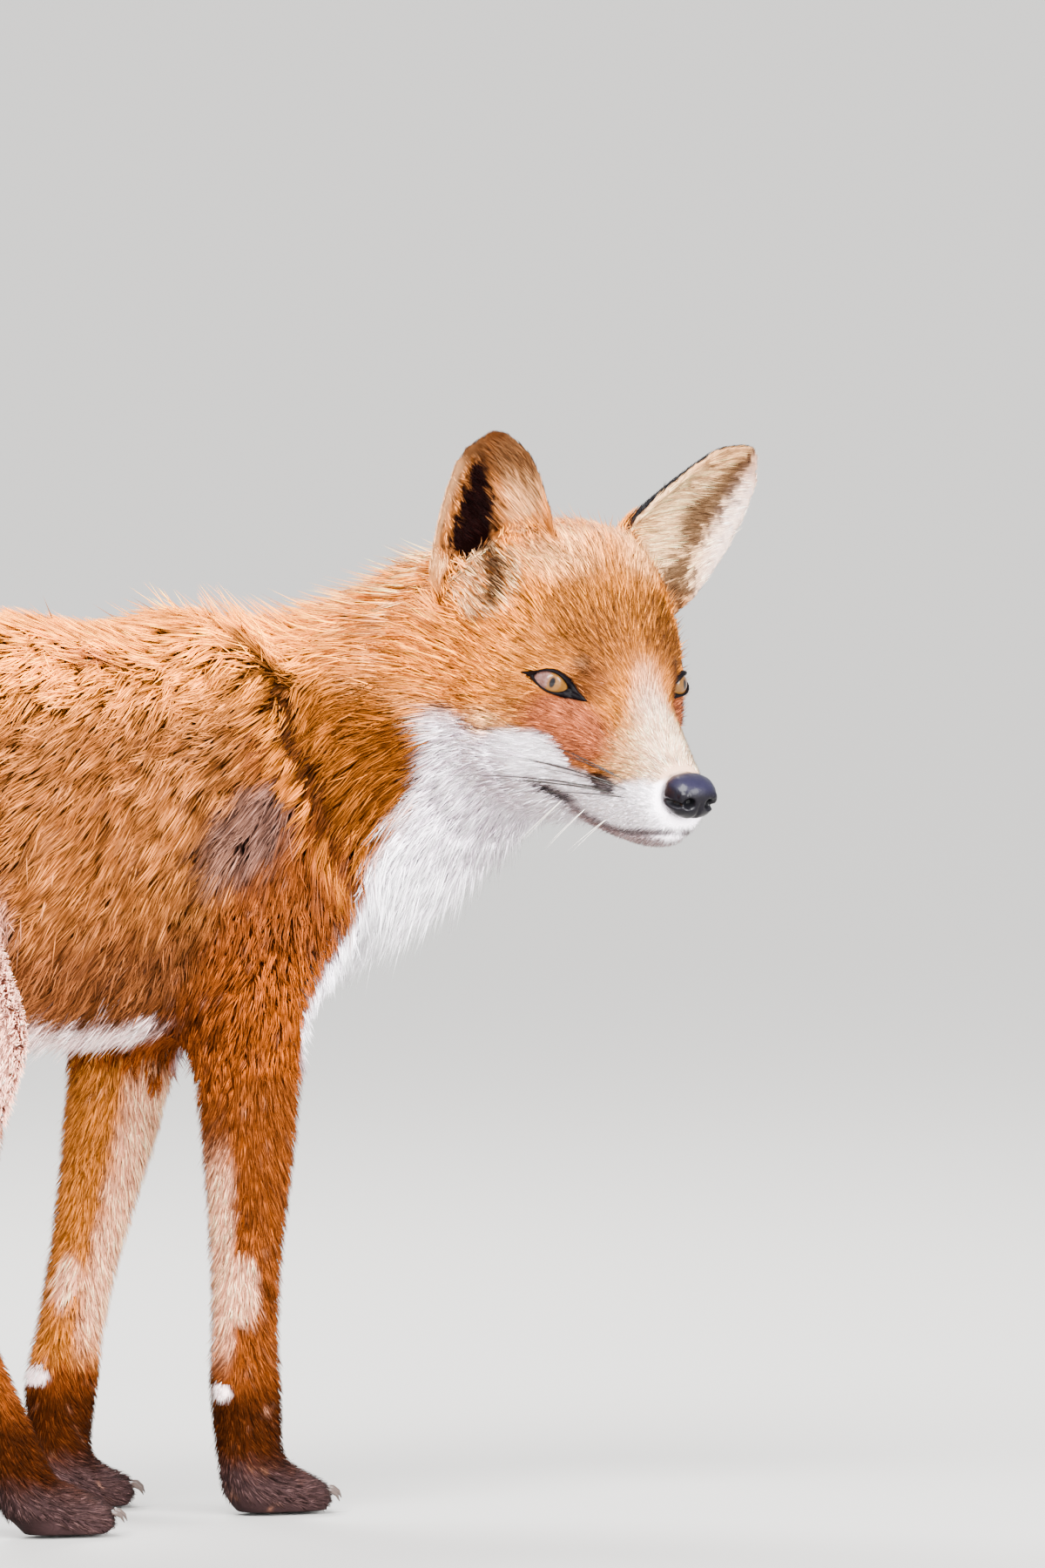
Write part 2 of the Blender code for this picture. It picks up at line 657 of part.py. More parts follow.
if __name__ == "__main__":
    build()
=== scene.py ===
"""Looks of a life-size still model of a red fox: skin, coat, eyes, nose, claws and whiskers.

Everything is in the row frame of the solids: metres, +X the way the body faces, +Y its left, +Z up.
One skin stands for all the nodes of flesh and lies under the coat. The coat is solid tufts that
follow a lie worked out on the skin. Skin and tufts take their colour from the same markings.
"""

import math

import bmesh
import bpy
import numpy as np
from bpy.props import FloatProperty, FloatVectorProperty, IntProperty, PointerProperty
from mathutils import Matrix, Vector
from mathutils.bvhtree import BVHTree
from mathutils.kdtree import KDTree


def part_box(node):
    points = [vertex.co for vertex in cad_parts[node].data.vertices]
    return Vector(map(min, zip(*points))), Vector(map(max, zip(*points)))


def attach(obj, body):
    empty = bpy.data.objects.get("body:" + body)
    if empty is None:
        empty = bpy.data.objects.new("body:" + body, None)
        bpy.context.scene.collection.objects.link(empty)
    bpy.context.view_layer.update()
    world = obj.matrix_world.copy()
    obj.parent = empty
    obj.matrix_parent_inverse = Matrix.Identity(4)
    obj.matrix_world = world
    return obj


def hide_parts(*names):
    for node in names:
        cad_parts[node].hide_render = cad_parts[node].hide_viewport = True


bl_info = {
    "name": "Red fox model",
    "version": (1, 0, 0),
    "blender": (4, 5, 0),
    "location": "3D Viewport > Sidebar > Red fox",
    "description": "Skin, coat, eyes, nose, claws and whiskers of a standing red fox",
    "category": "Object",
}

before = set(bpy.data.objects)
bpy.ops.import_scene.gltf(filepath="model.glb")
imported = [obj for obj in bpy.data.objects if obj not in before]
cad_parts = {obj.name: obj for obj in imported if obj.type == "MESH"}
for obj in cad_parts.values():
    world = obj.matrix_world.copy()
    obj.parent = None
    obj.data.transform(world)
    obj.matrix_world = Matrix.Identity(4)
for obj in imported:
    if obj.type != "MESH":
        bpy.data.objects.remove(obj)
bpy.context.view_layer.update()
BODY = "root"

LEGS = ["foreleg_right", "foreleg_left", "hindleg_right", "hindleg_left"]
PAWS = ["forepaw_right", "forepaw_left", "hindfoot_right", "hindfoot_left"]
TAIL = ["tail_base", "tail_brush", "tail_tip"]
EARS = ["ear_right", "ear_left"]
FLESH = ["head", "neck", "trunk", *TAIL, *LEGS, *PAWS, *EARS]
LABEL = {name: k for k, name in enumerate(FLESH)}


def part_of(labels, names):
    """True where a vertex belongs to one of the named nodes."""
    return np.isin(labels, [LABEL[name] for name in names])


# ---------------------------------------------------------------- colours
def linear(hex_colour):
    """An sRGB hex colour as linear red, green and blue."""
    values = [int(hex_colour[k:k + 2], 16) / 255 for k in (1, 3, 5)]
    return tuple(v / 12.92 if v <= 0.04045 else ((v + 0.055) / 1.055) ** 2.4 for v in values)


COAT = {name: np.array(linear(code)) for name, code in {
    "tawny": "#683610",        # flanks
    "fawn": "#9E5C26",         # paler ends of the hair on the flanks
    "apricot": "#D47618",      # top of the back and the nape
    "russet": "#582606",       # shoulders
    "golden": "#8C4808",       # the collar of the neck
    "ochre": "#945008",        # above the collar
    "brick": "#723200",        # fronts of the legs
    "chestnut": "#5A2F17",     # low on the flanks, and where the coat is deep
    "sienna": "#8A4228",       # below the eyes
    "amber": "#AE600C",        # forehead
    "peach": "#FFC890",        # top of the muzzle
    "blush": "#F0A27E",        # backs and insides of the legs
    "lilac": "#9F8599",        # shade in the white of the throat and the cheeks
    "white": "#FFF2FC",        # lips, cheeks, throat, chest and tail tip
    "grey": "#533D37",         # patch behind the shoulder
    "umber": "#271104",        # dark hair and dark ends, and painted shade in the fold before the shoulder and low behind the forelegs
    "cocoa": "#150501",        # wrists, and painted shade in the hollow of the far ear
    "plum": "#302121",         # toes
    "black": "#050305",        # painted shade in the hollow of the near ear, and the dark notch before each ear's root
    "maroon": "#070101",       # bare skin in the ears
    "sand": "#8B6241",         # long hair in the ears
}.items()}
COAT.update({name: COAT[one] * share + COAT[other] * rest for name, one, share, other, rest in (
    ("belly", "white", 0.50, "blush", 0.50),
    ("thigh", "blush", 0.80, "lilac", 0.30),
    ("wrist_pad", "white", 0.55, "blush", 0.35),
    ("bridge", "peach", 0.50, "white", 0.50),
    ("muzzle_side", "peach", 0.66, "sienna", 0.35),
    ("ear_root", "sand", 0.60, "peach", 0.45),
    ("chin", "sienna", 0.4, "white", 0.12),
)})


def mix(colours, other, share):
    """Blends rows of colours towards another colour by a share for each row."""
    share = np.clip(share, 0, 1)[:, None]
    return colours * (1 - share) + other * share


def step(values, low, high):
    """Smooth step from 0 at low to 1 at high, and from 1 down to 0 where low is above high."""
    t = np.clip((values - low) / (high - low), 0, 1)
    return t * t * (3 - 2 * t)


def around(points, centre, radii):
    """1 at the centre of an ellipsoid, falling to 0 at its surface."""
    return 1 - step(np.linalg.norm((points - centre) / radii, axis=1), 0.35, 1.0)


def unit(vectors):
    """Rows of vectors made 1 long."""
    return vectors / np.maximum(np.linalg.norm(vectors, axis=-1, keepdims=True), 1e-9)


def folded(local):
    """Points with both sides laid on the left one."""
    return np.stack([local[:, 0], np.abs(local[:, 1]), local[:, 2]], axis=1)


def ripple(points, size, seed=0.0):
    """Smooth noise in -1..1 made of crossed waves about size metres long."""
    x, y, z = points.T * (2 * math.pi / size)
    return (np.sin(x + 1.7 * np.sin(0.7 * y + seed) + 0.6 * z + seed)
            + np.sin(0.8 * y + 1.3 * np.sin(0.9 * z - seed) - 0.5 * x + 2.1 * seed)
            + np.sin(0.9 * z + 1.5 * np.sin(0.6 * x + 2 * seed) + 0.4 * y - seed)) / 3


# ---------------------------------------------------------------- places taken from the frame
def node_points(name):
    """Vertices of a CAD node."""
    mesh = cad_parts[name].data
    points = np.empty(len(mesh.vertices) * 3, np.float32)
    mesh.vertices.foreach_get("co", points)
    return points.reshape(-1, 3).astype(float)


def middle(name):
    """Middle of a node's box."""
    low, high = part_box(name)
    return np.array((low + high) / 2)


def end_of(name, axis, sign, share=0.12):
    """Middle of the vertices at one end of a node."""
    points = node_points(name)
    along = points[:, axis] * sign
    near = along > along.max() - share * (along.max() - along.min())
    return points[near].mean(0)


class Head:
    """The head's own frame: x towards the nose, y to its left, z up, from the root of the bridge."""

    left = unit(middle("eye_left") - middle("eye_right"))
    eyes = (middle("eye_right") + middle("eye_left")) / 2
    nose_drop = math.atan2(0.0238, 0.0824)      # the nose lies this far below the eyes, seen from the side
    to_nose = unit((middle("nose") - eyes) - left * np.dot(middle("nose") - eyes, left))
    crown = np.cross(to_nose, left)
    ahead = to_nose * math.cos(nose_drop) + crown * math.sin(nose_drop)
    up = np.cross(ahead, left)
    axes = np.stack([ahead, left, up])
    centre = eyes + ahead * 0.0019 + up * 0.0017      # a little ahead of the eyes and above them

    @classmethod
    def local(cls, points):
        """Row-frame points in the head's frame."""
        return (np.atleast_2d(points) - cls.centre) @ cls.axes.T

    @classmethod
    def world(cls, points):
        """Head-frame points in the row frame."""
        return np.atleast_2d(points) @ cls.axes + cls.centre

    @classmethod
    def turn(cls, vectors):
        """Head-frame directions in the row frame."""
        return np.atleast_2d(vectors) @ cls.axes


EYE_RADIUS = float((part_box("eye_right")[1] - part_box("eye_right")[0])[2]) / 2
NOSE_LOCAL = Head.local(middle("nose"))[0]
NOSE_REACH = float((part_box("nose")[1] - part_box("nose")[0]).length) * 0.36
# the way each ear opens and the way each eye looks, in the head's frame
CUP = {"ear_right": (0.86, -0.50, 0.0), "ear_left": (0.95, 0.22, 0.10)}
GAZE = {"right": (0.82, -0.53, 0.20), "left": (0.82, 0.53, 0.20)}


class Ear:
    """An ear's own measures: height along it, place across it, and whether a point is in the cup."""

    def __init__(self, name):
        points = node_points(name)
        local = Head.local(points)
        self.base = local[local[:, 2] < np.quantile(local[:, 2], 0.12)].mean(0)
        self.tip = local[local[:, 2] > np.quantile(local[:, 2], 0.985)].mean(0)
        self.axis = unit(self.tip - self.base)
        facing = np.array(CUP[name])
        self.facing = unit(facing - self.axis * np.dot(facing, self.axis))
        self.medial = np.cross(self.axis, self.facing) * (1 if name == "ear_right" else -1)
        self.length = float(np.dot(self.tip - self.base, self.axis))

    def measures(self, points, normals):
        """Height 0..1, across in metres towards the crown, and how much the surface faces into the cup."""
        local = Head.local(points) - self.base
        inward = (normals @ Head.axes.T) @ self.facing
        return local @ self.axis / self.length, local @ self.medial, inward


# ---------------------------------------------------------------- meshes
def new_object(name, mesh):
    """A mesh object in the scene."""
    made = bpy.data.objects.new(name, mesh)
    bpy.context.scene.collection.objects.link(made)
    return made


def mesh_of(name, points, triangles):
    """A mesh from arrays of points and triangles."""
    mesh = bpy.data.meshes.new(name)
    mesh.vertices.add(len(points))
    mesh.vertices.foreach_set("co", np.ascontiguousarray(points, np.float32).ravel())
    mesh.loops.add(len(triangles) * 3)
    mesh.loops.foreach_set("vertex_index", np.ascontiguousarray(triangles, np.int32).ravel())
    mesh.polygons.add(len(triangles))
    mesh.polygons.foreach_set("loop_start", np.arange(0, len(triangles) * 3, 3, dtype=np.int32))
    mesh.update(calc_edges=True)
    mesh.shade_smooth()
    return mesh


def paint(mesh, colours):
    """Stores the coat's colours on a mesh's points."""
    layer = mesh.color_attributes.new("coat_colour", "FLOAT_COLOR", "POINT")
    rgba = np.concatenate([colours, np.ones((len(colours), 1))], axis=1)
    layer.data.foreach_set("color", rgba.astype(np.float32).ravel())


def carry(mesh, name, vectors):
    """Stores a vector for each vertex."""
    mesh.attributes.new(name, "FLOAT_VECTOR", "POINT").data.foreach_set(
        "vector", np.ascontiguousarray(vectors, np.float32).ravel())


def carry_value(mesh, name, values):
    """Stores a number for each vertex."""
    mesh.attributes.new(name, "FLOAT", "POINT").data.foreach_set(
        "value", np.ascontiguousarray(values, np.float32))


def read(mesh, name, kind, size):
    """An attribute of a mesh's vertices as an array."""
    values = np.empty(len(mesh.vertices) * size, np.float32)
    mesh.attributes[name].data.foreach_get(kind, values)
    return values.reshape(-1, size).astype(float)


def applied(obj):
    """Replaces an object's mesh by its evaluated one and drops its modifiers."""
    bpy.context.view_layer.update()
    made = bpy.data.meshes.new_from_object(obj.evaluated_get(bpy.context.evaluated_depsgraph_get()))
    obj.modifiers.clear()
    obj.data = made
    return obj


def points_of(mesh):
    """A mesh's vertices as an array."""
    points = np.empty(len(mesh.vertices) * 3, np.float32)
    mesh.vertices.foreach_get("co", points)
    return points.reshape(-1, 3).astype(float)


def normals_of(mesh):
    """A mesh's vertex normals as an array."""
    normals = np.empty(len(mesh.vertices) * 3, np.float32)
    mesh.vertex_normals.foreach_get("vector", normals)
    return normals.reshape(-1, 3).astype(float)


def set_points(mesh, points):
    """Moves a mesh's vertices."""
    mesh.vertices.foreach_set("co", points.astype(np.float32).ravel())
    mesh.update()


def edges_of(mesh):
    """A mesh's edges as an array of vertex pairs."""
    edges = np.empty(len(mesh.edges) * 2, np.int32)
    mesh.edges.foreach_get("vertices", edges)
    return edges.reshape(-1, 2)


def diffuse(values, edges, rounds, keep=0.0):
    """Evens values out over a mesh's edges, keeping a share of each vertex's own."""
    flat = values.reshape(len(values), -1)
    count = np.bincount(edges.ravel(), minlength=len(flat)).astype(float)[:, None]
    first, second = edges.T
    for _ in range(rounds):
        total = np.empty_like(flat)
        for k in range(flat.shape[1]):
            total[:, k] = (np.bincount(first, flat[second, k], len(flat))
                           + np.bincount(second, flat[first, k], len(flat)))
        flat = keep * flat + (1 - keep) * total / np.maximum(count, 1)
    return flat.reshape(values.shape)


# ---------------------------------------------------------------- the skin
FLESH_GROWTH = 0.0006      # closes the clearance between neighbouring nodes
LONG_HAIR = 0.012      # how far the skin lies below the tips of the coat on the body, and at other nodes
HAIR_DEPTH = {"neck": 0.014, "tail_base": 0.017, "tail_brush": 0.026, "tail_tip": 0.022,
              **dict.fromkeys(LEGS, 0.0040), **dict.fromkeys(PAWS, 0.0020), **dict.fromkeys(EARS, 0.0006)}
SHORT_HAIRED = ["head", *EARS, *PAWS]
MOUTH_CORNER = -0.002      # along the head


def joined_flesh():
    """One mesh of all the flesh nodes, each grown enough to close the cuts between them."""
    form = bmesh.new()
    owners = []
    # the skin closes over the eyes before their lids are cut
    for name in [*FLESH, "eye_right", "eye_left"]:
        piece = bmesh.new()
        piece.from_mesh(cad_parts[name].data)
        bmesh.ops.remove_doubles(piece, verts=piece.verts, dist=1e-5)
        piece.normal_update()
        for vertex in piece.verts:
            vertex.co += vertex.normal * FLESH_GROWTH
        mesh = bpy.data.meshes.new(name + "_copy")
        piece.to_mesh(mesh)
        piece.free()
        form.from_mesh(mesh)
        owners += [LABEL.get(name, LABEL["head"])] * len(mesh.polygons)
        bpy.data.meshes.remove(mesh)
    mesh = bpy.data.meshes.new("flesh")
    form.to_mesh(mesh)
    form.free()
    return mesh, np.array(owners)


def tree_of(mesh):
    """A mesh's faces, ready for the nearest place on them or the first that a ray meets."""
    return BVHTree.FromPolygons([v.co for v in mesh.vertices], [tuple(p.vertices) for p in mesh.polygons])


def nearest_labels(points, mesh, owners):
    """For each point, the node whose surface is nearest."""
    tree = tree_of(mesh)
    return np.array([owners[tree.find_nearest(Vector(p))[2]] for p in points])


def half_thickness(points, normals, mesh):
    """Half of the way through the flesh from each point, straight in."""
    tree = tree_of(mesh)
    inside = 0.0008      # each ray starts this far below the surface
    half = np.full(len(points), 0.1)
    for k, (point, normal) in enumerate(zip(points, normals)):
        hit = tree.ray_cast(Vector(point - normal * inside), Vector(-normal), 0.4)
        if hit[0] is not None:
            half[k] = (hit[3] + inside) / 2
    return half


def coat_depth(points, labels):
    """How far the skin lies below the tips of the coat, by place."""
    depth = np.full(len(points), LONG_HAIR)
    for name, below in HAIR_DEPTH.items():
        depth[labels == LABEL[name]] = below
    on_head = labels == LABEL["head"]
    face = 0.0016 + 0.0105 * step(Head.local(points)[:, 0], 0.012, -0.088) ** 1.2
    depth[on_head] = face[on_head]
    depth[(labels == LABEL["trunk"]) & (points[:, 2] < 0.235)] = 0.007      # elbows and knees
    return depth


class Eye:
    """An eye's own frame: out along the gaze, across the lids towards the inner corner, and up."""

    def __init__(self, side):
        self.side = side
        self.sign = 1 if side == "left" else -1
        self.centre = middle("eye_" + side)
        gaze = unit(np.array(GAZE[side]))
        # the inner corner is forward, inward and lower
        inner = np.array((0.42, -self.sign * 0.88, -0.17))
        inner = unit(inner - gaze * np.dot(inner, gaze))
        rise = np.cross(gaze, inner) * (-1 if self.sign > 0 else 1)
        self.axes = Head.turn(np.stack([gaze, inner, rise]))

    def local(self, points):
        """Points in the eye's frame."""
        return (np.atleast_2d(points) - self.centre) @ self.axes.T

    def world(self, points):
        """Eye-frame points in the row frame."""
        return np.atleast_2d(points) @ self.axes + self.centre


EYE_REACH = 0.026      # nothing of an eye is further than this from its centre
# the opening between the lids: its middle and half length across the eye, its rise and its fall
LID_MIDDLE = -0.0008
LID_HALF = 0.0081
LID_UP = 0.0045
LID_DOWN = 0.0036
# the dark hide round the opening, in mm: place towards the inner corner, its upper edge and its lower edge
RIM = np.array([(-14.8, -0.6, -0.9), (-12.0, 0.7, -1.3), (-10.0, 1.9, -1.8), (-8.0, 3.3, -2.6),
                (-4.9, 5.3, -3.9), (-1.8, 6.3, -4.6), (1.0, 6.4, -4.8), (4.0, 5.7, -4.8),
                (7.0, 4.2, -4.5), (9.5, 2.3, -4.1),
                (12.2, 0.4, -3.7), (15.0, -1.0, -3.3), (17.6, -2.0, -2.5)]) / 1000


def lid_edge(across, upper):
    """Height of the opening's edge above or below the line between the corners of the eye."""
    share = np.clip((across - LID_MIDDLE) / LID_HALF, -1, 1)
    arch = np.clip(1 - share ** 2, 0, 1) ** 0.72
    if upper:
        return LID_UP * arch * (1 - 0.12 * share)
    return -LID_DOWN * arch * (1 + 0.12 * share)


def almond_gap(across, up):
    """Distance outside the opening between the lids, below 0 inside it."""
    edge = np.where(up > 0, lid_edge(across, True), -lid_edge(across, False))
    return np.maximum(np.abs(up) - edge, np.abs(across - LID_MIDDLE) - LID_HALF)


def rim_edges(across):
    """Upper and lower edge of the dark hide round the opening."""
    return np.interp(across, RIM[:, 0], RIM[:, 1]), np.interp(across, RIM[:, 0], RIM[:, 2])


def rim_gap(across, up):
    """Distance outside the dark hide round the opening, below 0 on it."""
    upper, lower = rim_edges(across)
    return np.max([up - upper, lower - up, RIM[0, 0] - across, across - RIM[-1, 0]], axis=0)


def mouth_height(x):
    """Height of the line between the lips at a place along the head."""
    return np.interp(x, [-0.004, 0.013, 0.030, 0.050, 0.072, 0.080],
                     [-0.0495, -0.0560, -0.0575, -0.0540, -0.0468, -0.0445])


def white_height(x):
    """Height on the face below which the coat is white."""
    return np.interp(x, [-0.056, -0.043, -0.026, -0.015, -0.0075, 0.004, 0.013,
                         0.020, 0.034, 0.052, 0.070, 0.080],
                     [-0.041, -0.038, -0.040, -0.032, -0.0285, -0.0250, -0.0285, -0.0355, -0.0374, -0.0305,
                      -0.0235, -0.0180])


def face_moves(local):
    """How the skin of the face moves, in the head's frame: sockets, cheekbones, brows, stop and lips."""
    flat = folded(local)
    side, wide = np.sign(local[:, 1]), flat[:, 1]
    moves = np.zeros_like(local)
    socket = around(flat, (0.020, 0.019, -0.006), (0.022, 0.010, 0.016))
    cheekbone = around(flat, (0.004, 0.036, -0.016), (0.016, 0.014, 0.010))
    brow = around(flat, (-0.004, 0.024, 0.0120), (0.016, 0.012, 0.007))
    stop = around(flat, (0.008, 0.0, 0.016), (0.014, 0.010, 0.012))
    # the line of the mouth, from the front of the lip to the corner below the eye
    groove = np.exp(-((local[:, 2] - mouth_height(local[:, 0])) / 0.0015) ** 2)
    groove *= step(local[:, 0], MOUTH_CORNER - 0.004, MOUTH_CORNER + 0.004)
    moves[:, 1] -= side * 0.0040 * socket
    moves[:, 1] += side * 0.0014 * cheekbone
    moves[:, 0] += 0.0012 * brow
    moves[:, 2] += 0.0008 * brow
    moves[:, 2] -= 0.0012 * stop
    moves[:, 1] -= side * 0.0020 * groove * step(wide, 0.002, 0.006)
    moves[:, 0] -= 0.0018 * groove * (1 - step(wide, 0.003, 0.008))
    return moves


def sculpt_face(points, labels):
    """Sockets, brows, lips and lids: the skin wraps each eyeball and drops behind it in the opening."""
    on_head = labels == LABEL["head"]
    points = points + Head.turn(face_moves(Head.local(points)) * on_head[:, None])
    lid = EYE_RADIUS + 0.0008
    for name in ("right", "left"):
        eye = Eye(name)
        place = eye.local(points)
        distance = np.linalg.norm(place, axis=1)
        near = on_head & (distance < 0.024) & (place[:, 0] > -0.004)
        direction = unit(place)
        gap = almond_gap(direction[:, 1] * EYE_RADIUS, direction[:, 2] * EYE_RADIUS)
        wrap = step(gap, 0.0055, 0.0015)
        closed = np.maximum(lid, distance * (1 - wrap) + lid * wrap)
        forward = step(place[:, 0], -0.002, 0.003)
        reach = np.where(gap < 0, EYE_RADIUS - 0.0024, distance + (closed - distance) * forward)
        place[near] = (direction * reach[:, None])[near]
        points[near] = eye.world(place[near])
    return points


def sink_to_roots(skin, labels, rounds):
    """Evens out the solids' facets and moves the skin in to the roots of the hair, by the depth returned."""
    mesh = skin.data
    points, edges = points_of(mesh), edges_of(mesh)
    soft = diffuse(np.where(part_of(labels, SHORT_HAIRED), 0.0, 1.0), edges, 12)[:, None]
    smooth = diffuse(points, edges, rounds, keep=0.4)
    light = diffuse(points, edges, 2, keep=0.5)
    points = light * (1 - soft) + smooth * soft
    set_points(mesh, points)
    depth = diffuse(coat_depth(points, labels), edges, 10)
    limit = half_thickness(points, normals_of(mesh), mesh)
    depth = np.minimum(depth, np.where(part_of(labels, EARS), HAIR_DEPTH["ear_right"], limit * 0.62))
    depth = diffuse(depth, edges, 6)
    for _ in range(5):      # in small steps, so that the surface doesn't fold
        points = points - normals_of(mesh) * depth[:, None] / 5
        even = diffuse(points, edges, 1, keep=0.5)
        points = points * (1 - soft * 0.7) + even * soft * 0.7
        set_points(mesh, points)
    return depth


def refine(skin, labels, depth):
    """Thins the skin's faces where the coat is long and splits them where it is short; returns the depth."""
    toes = part_of(labels, PAWS) & (points_of(skin.data)[:, 2] < 0.030)
    fine = part_of(labels, ["head", *EARS]) | toes
    carry(skin.data, "depth_and_fine", np.stack([depth * 1000, fine, fine], axis=1))
    coarse = skin.vertex_groups.new(name="coarse")
    coarse.add(np.nonzero(~part_of(labels, SHORT_HAIRED))[0].tolist(), 1.0, "REPLACE")
    thin = skin.modifiers.new("Thin", "DECIMATE")
    thin.ratio = 0.42
    thin.vertex_group = coarse.name
    applied(skin)
    skin.vertex_groups.clear()
    form = bmesh.new()
    form.from_mesh(skin.data)
    layer = form.verts.layers.float_vector["depth_and_fine"]
    chosen = [edge for edge in form.edges if all(vertex[layer][2] > 0.5 for vertex in edge.verts)]
    bmesh.ops.subdivide_edges(form, edges=chosen, cuts=1, use_grid_fill=True, smooth=0.6)
    for name in ("eye_right", "eye_left"):
        centre = Vector(middle(name))
        for _ in range(2):
            close = [edge for edge in form.edges if (edge.verts[0].co - centre).length < 0.0125]
            bmesh.ops.subdivide_edges(form, edges=close, cuts=1, use_grid_fill=True)
    bmesh.ops.triangulate(form, faces=form.faces)
    form.to_mesh(skin.data)
    form.free()
    depth = read(skin.data, "depth_and_fine", "vector", 3)[:, 0] / 1000
    skin.data.attributes.remove(skin.data.attributes["depth_and_fine"])
    return depth


def make_skin(settings):
    """The one skin, and the flesh node and the depth of coat at each of its vertices."""
    flesh, owners = joined_flesh()
    skin = new_object("skin", flesh.copy())
    remesh = skin.modifiers.new("Unite", "REMESH")
    remesh.mode = "VOXEL"
    remesh.voxel_size = settings.grain
    applied(skin)
    labels = nearest_labels(points_of(skin.data), flesh, owners)
    depth = sink_to_roots(skin, labels, settings.smoothing)
    depth = refine(skin, labels, depth)
    # the finished skin lies below the solids' surface, so its labels are looked up a little outside it
    points = points_of(skin.data)
    labels = nearest_labels(points + normals_of(skin.data) * 0.002, flesh, owners)
    set_points(skin.data, sculpt_face(points, labels))
    bpy.data.meshes.remove(flesh)
    return skin, labels, depth


# ---------------------------------------------------------------- the lie of the coat
# the middle of the neck, from the head to the shoulders
NECK_LINE = np.array([(0.352, -0.030, 0.378), (0.339, 0.025, 0.368), (0.308, 0.057, 0.346),
                      (0.268, 0.077, 0.326), (0.214, 0.083, 0.322)])
TAIL_LINE = np.array([end_of("tail_base", 0, 1), middle("tail_base"), middle("tail_brush"),
                      middle("tail_tip"), end_of("tail_tip", 0, -1)])


class Paw:
    """A paw's own measures: where its toes are and which way its hair runs above them."""

    def __init__(self, name):
        points = node_points(name)
        low = points[points[:, 2] < 0.022]
        self.front = low[:, 0].max()
        toes = low[low[:, 0] > self.front - 0.030]
        self.centre = (toes[:, 1].min() + toes[:, 1].max()) / 2
        self.half = (toes[:, 1].max() - toes[:, 1].min()) / 2
        upper = points[points[:, 2] > points[:, 2].max() - 0.010].mean(0)
        ankle = points[(points[:, 2] < 0.036) & (points[:, 2] > 0.026)].mean(0)
        self.way = unit(ankle - upper)

    def toes(self):
        """Across and forward reach of the four toes."""
        return [(self.centre + k * 0.48 * self.half, self.front - (0.0100 if abs(k) > 1 else 0.0))
                for k in (-1.5, -0.5, 0.5, 1.5)]


def along(points, line):
    """For each point the direction of the nearest stretch of a line, and how far along it is, 0 to 1."""
    starts, steps = line[:-1], np.diff(line, axis=0)
    lengths = np.linalg.norm(steps, axis=1)
    passed = np.concatenate([[0], np.cumsum(lengths)])
    best = np.full(len(points), 1e9)
    heading, share = np.zeros((len(points), 3)), np.zeros(len(points))
    for k, (start, way, length) in enumerate(zip(starts, steps, lengths)):
        t = np.clip((points - start) @ way / length ** 2, 0, 1)
        gap = np.linalg.norm(points - start - t[:, None] * way, axis=1)
        nearer = gap < best
        best[nearer] = gap[nearer]
        heading[nearer] = way / length
        share[nearer] = ((passed[k] + t * length) / passed[-1])[nearer]
    return heading, share


def trunk_lie(points, normals):
    """Back along the trunk, down the chest, the shoulders and the thighs, and down over the rump."""
    x, _, z = points.T
    outward = np.abs(normals[:, 1])
    down = -0.50 * outward * (1 - step(normals[:, 2], -0.4, -0.9))      # level under the belly
    way = np.stack([np.full(len(points), -1.0), np.zeros(len(points)), down], axis=1)
    way = mix(way, np.array((-0.15, 0, -1.0)), step(normals[:, 0], 0.25, 0.8) * step(x, 0.20, 0.26))
    way = mix(way, np.array((-0.35, 0, -1.0)), step(z, 0.330, 0.270) * step(x, 0.150, 0.190))
    thigh = step(z, 0.350, 0.270) * step(x, 0.060, -0.020) * step(outward, 0.2, 0.6)
    way = mix(way, np.array((-0.25, 0, -1.0)), thigh)
    return mix(way, np.array((-0.75, 0, -0.9)), step(x, -0.150, -0.215))


def lie_of_coat(points, normals, labels, edges):
    """The way the hair points at each vertex, along the skin."""
    local = Head.local(points)
    from_nose = local - (NOSE_LOCAL + (0.022, 0, 0.004))
    from_nose[:, 2] -= 0.25 * np.abs(local[:, 1])
    ways = {"head": Head.turn(unit(from_nose)), "neck": unit(along(points, NECK_LINE)[0] + (0, 0, -0.30)),
            "trunk": trunk_lie(points, normals), **dict.fromkeys(TAIL, along(points, TAIL_LINE)[0])}
    for name in EARS:
        ear = Ear(name)
        swept_in = step(ear.measures(points, normals)[2], -0.10, 0.30)[:, None]
        ways[name] = Head.turn(ear.axis * (1 - 0.5 * swept_in) + ear.medial * (0.20 - 1.10 * swept_in))
    for name in LEGS:
        ways[name] = np.tile(unit(end_of(name, 2, -1) - end_of(name, 2, 1)), (len(points), 1))
    toes = step(points[:, 2], 0.038, 0.018)[:, None]
    for name in PAWS:
        ways[name] = Paw(name).way * (1 - toes) + np.array((1.0, 0, -0.40)) * toes
    way = np.zeros_like(points)
    for name, its_way in ways.items():
        on = labels == LABEL[name]
        way[on] = its_way[on]
    way = diffuse(unit(way), edges, 26, keep=0.15)
    way -= normals * np.sum(way * normals, axis=1)[:, None]
    return unit(way)


# ---------------------------------------------------------------- the markings
# (x, z) places in the side view: the collar's lower edge, where the neck's long hair ends over the shoulder
COLLAR = [(0.244, 0.392), (0.251, 0.368), (0.250, 0.345), (0.258, 0.326), (0.268, 0.315), (0.290, 0.302)]
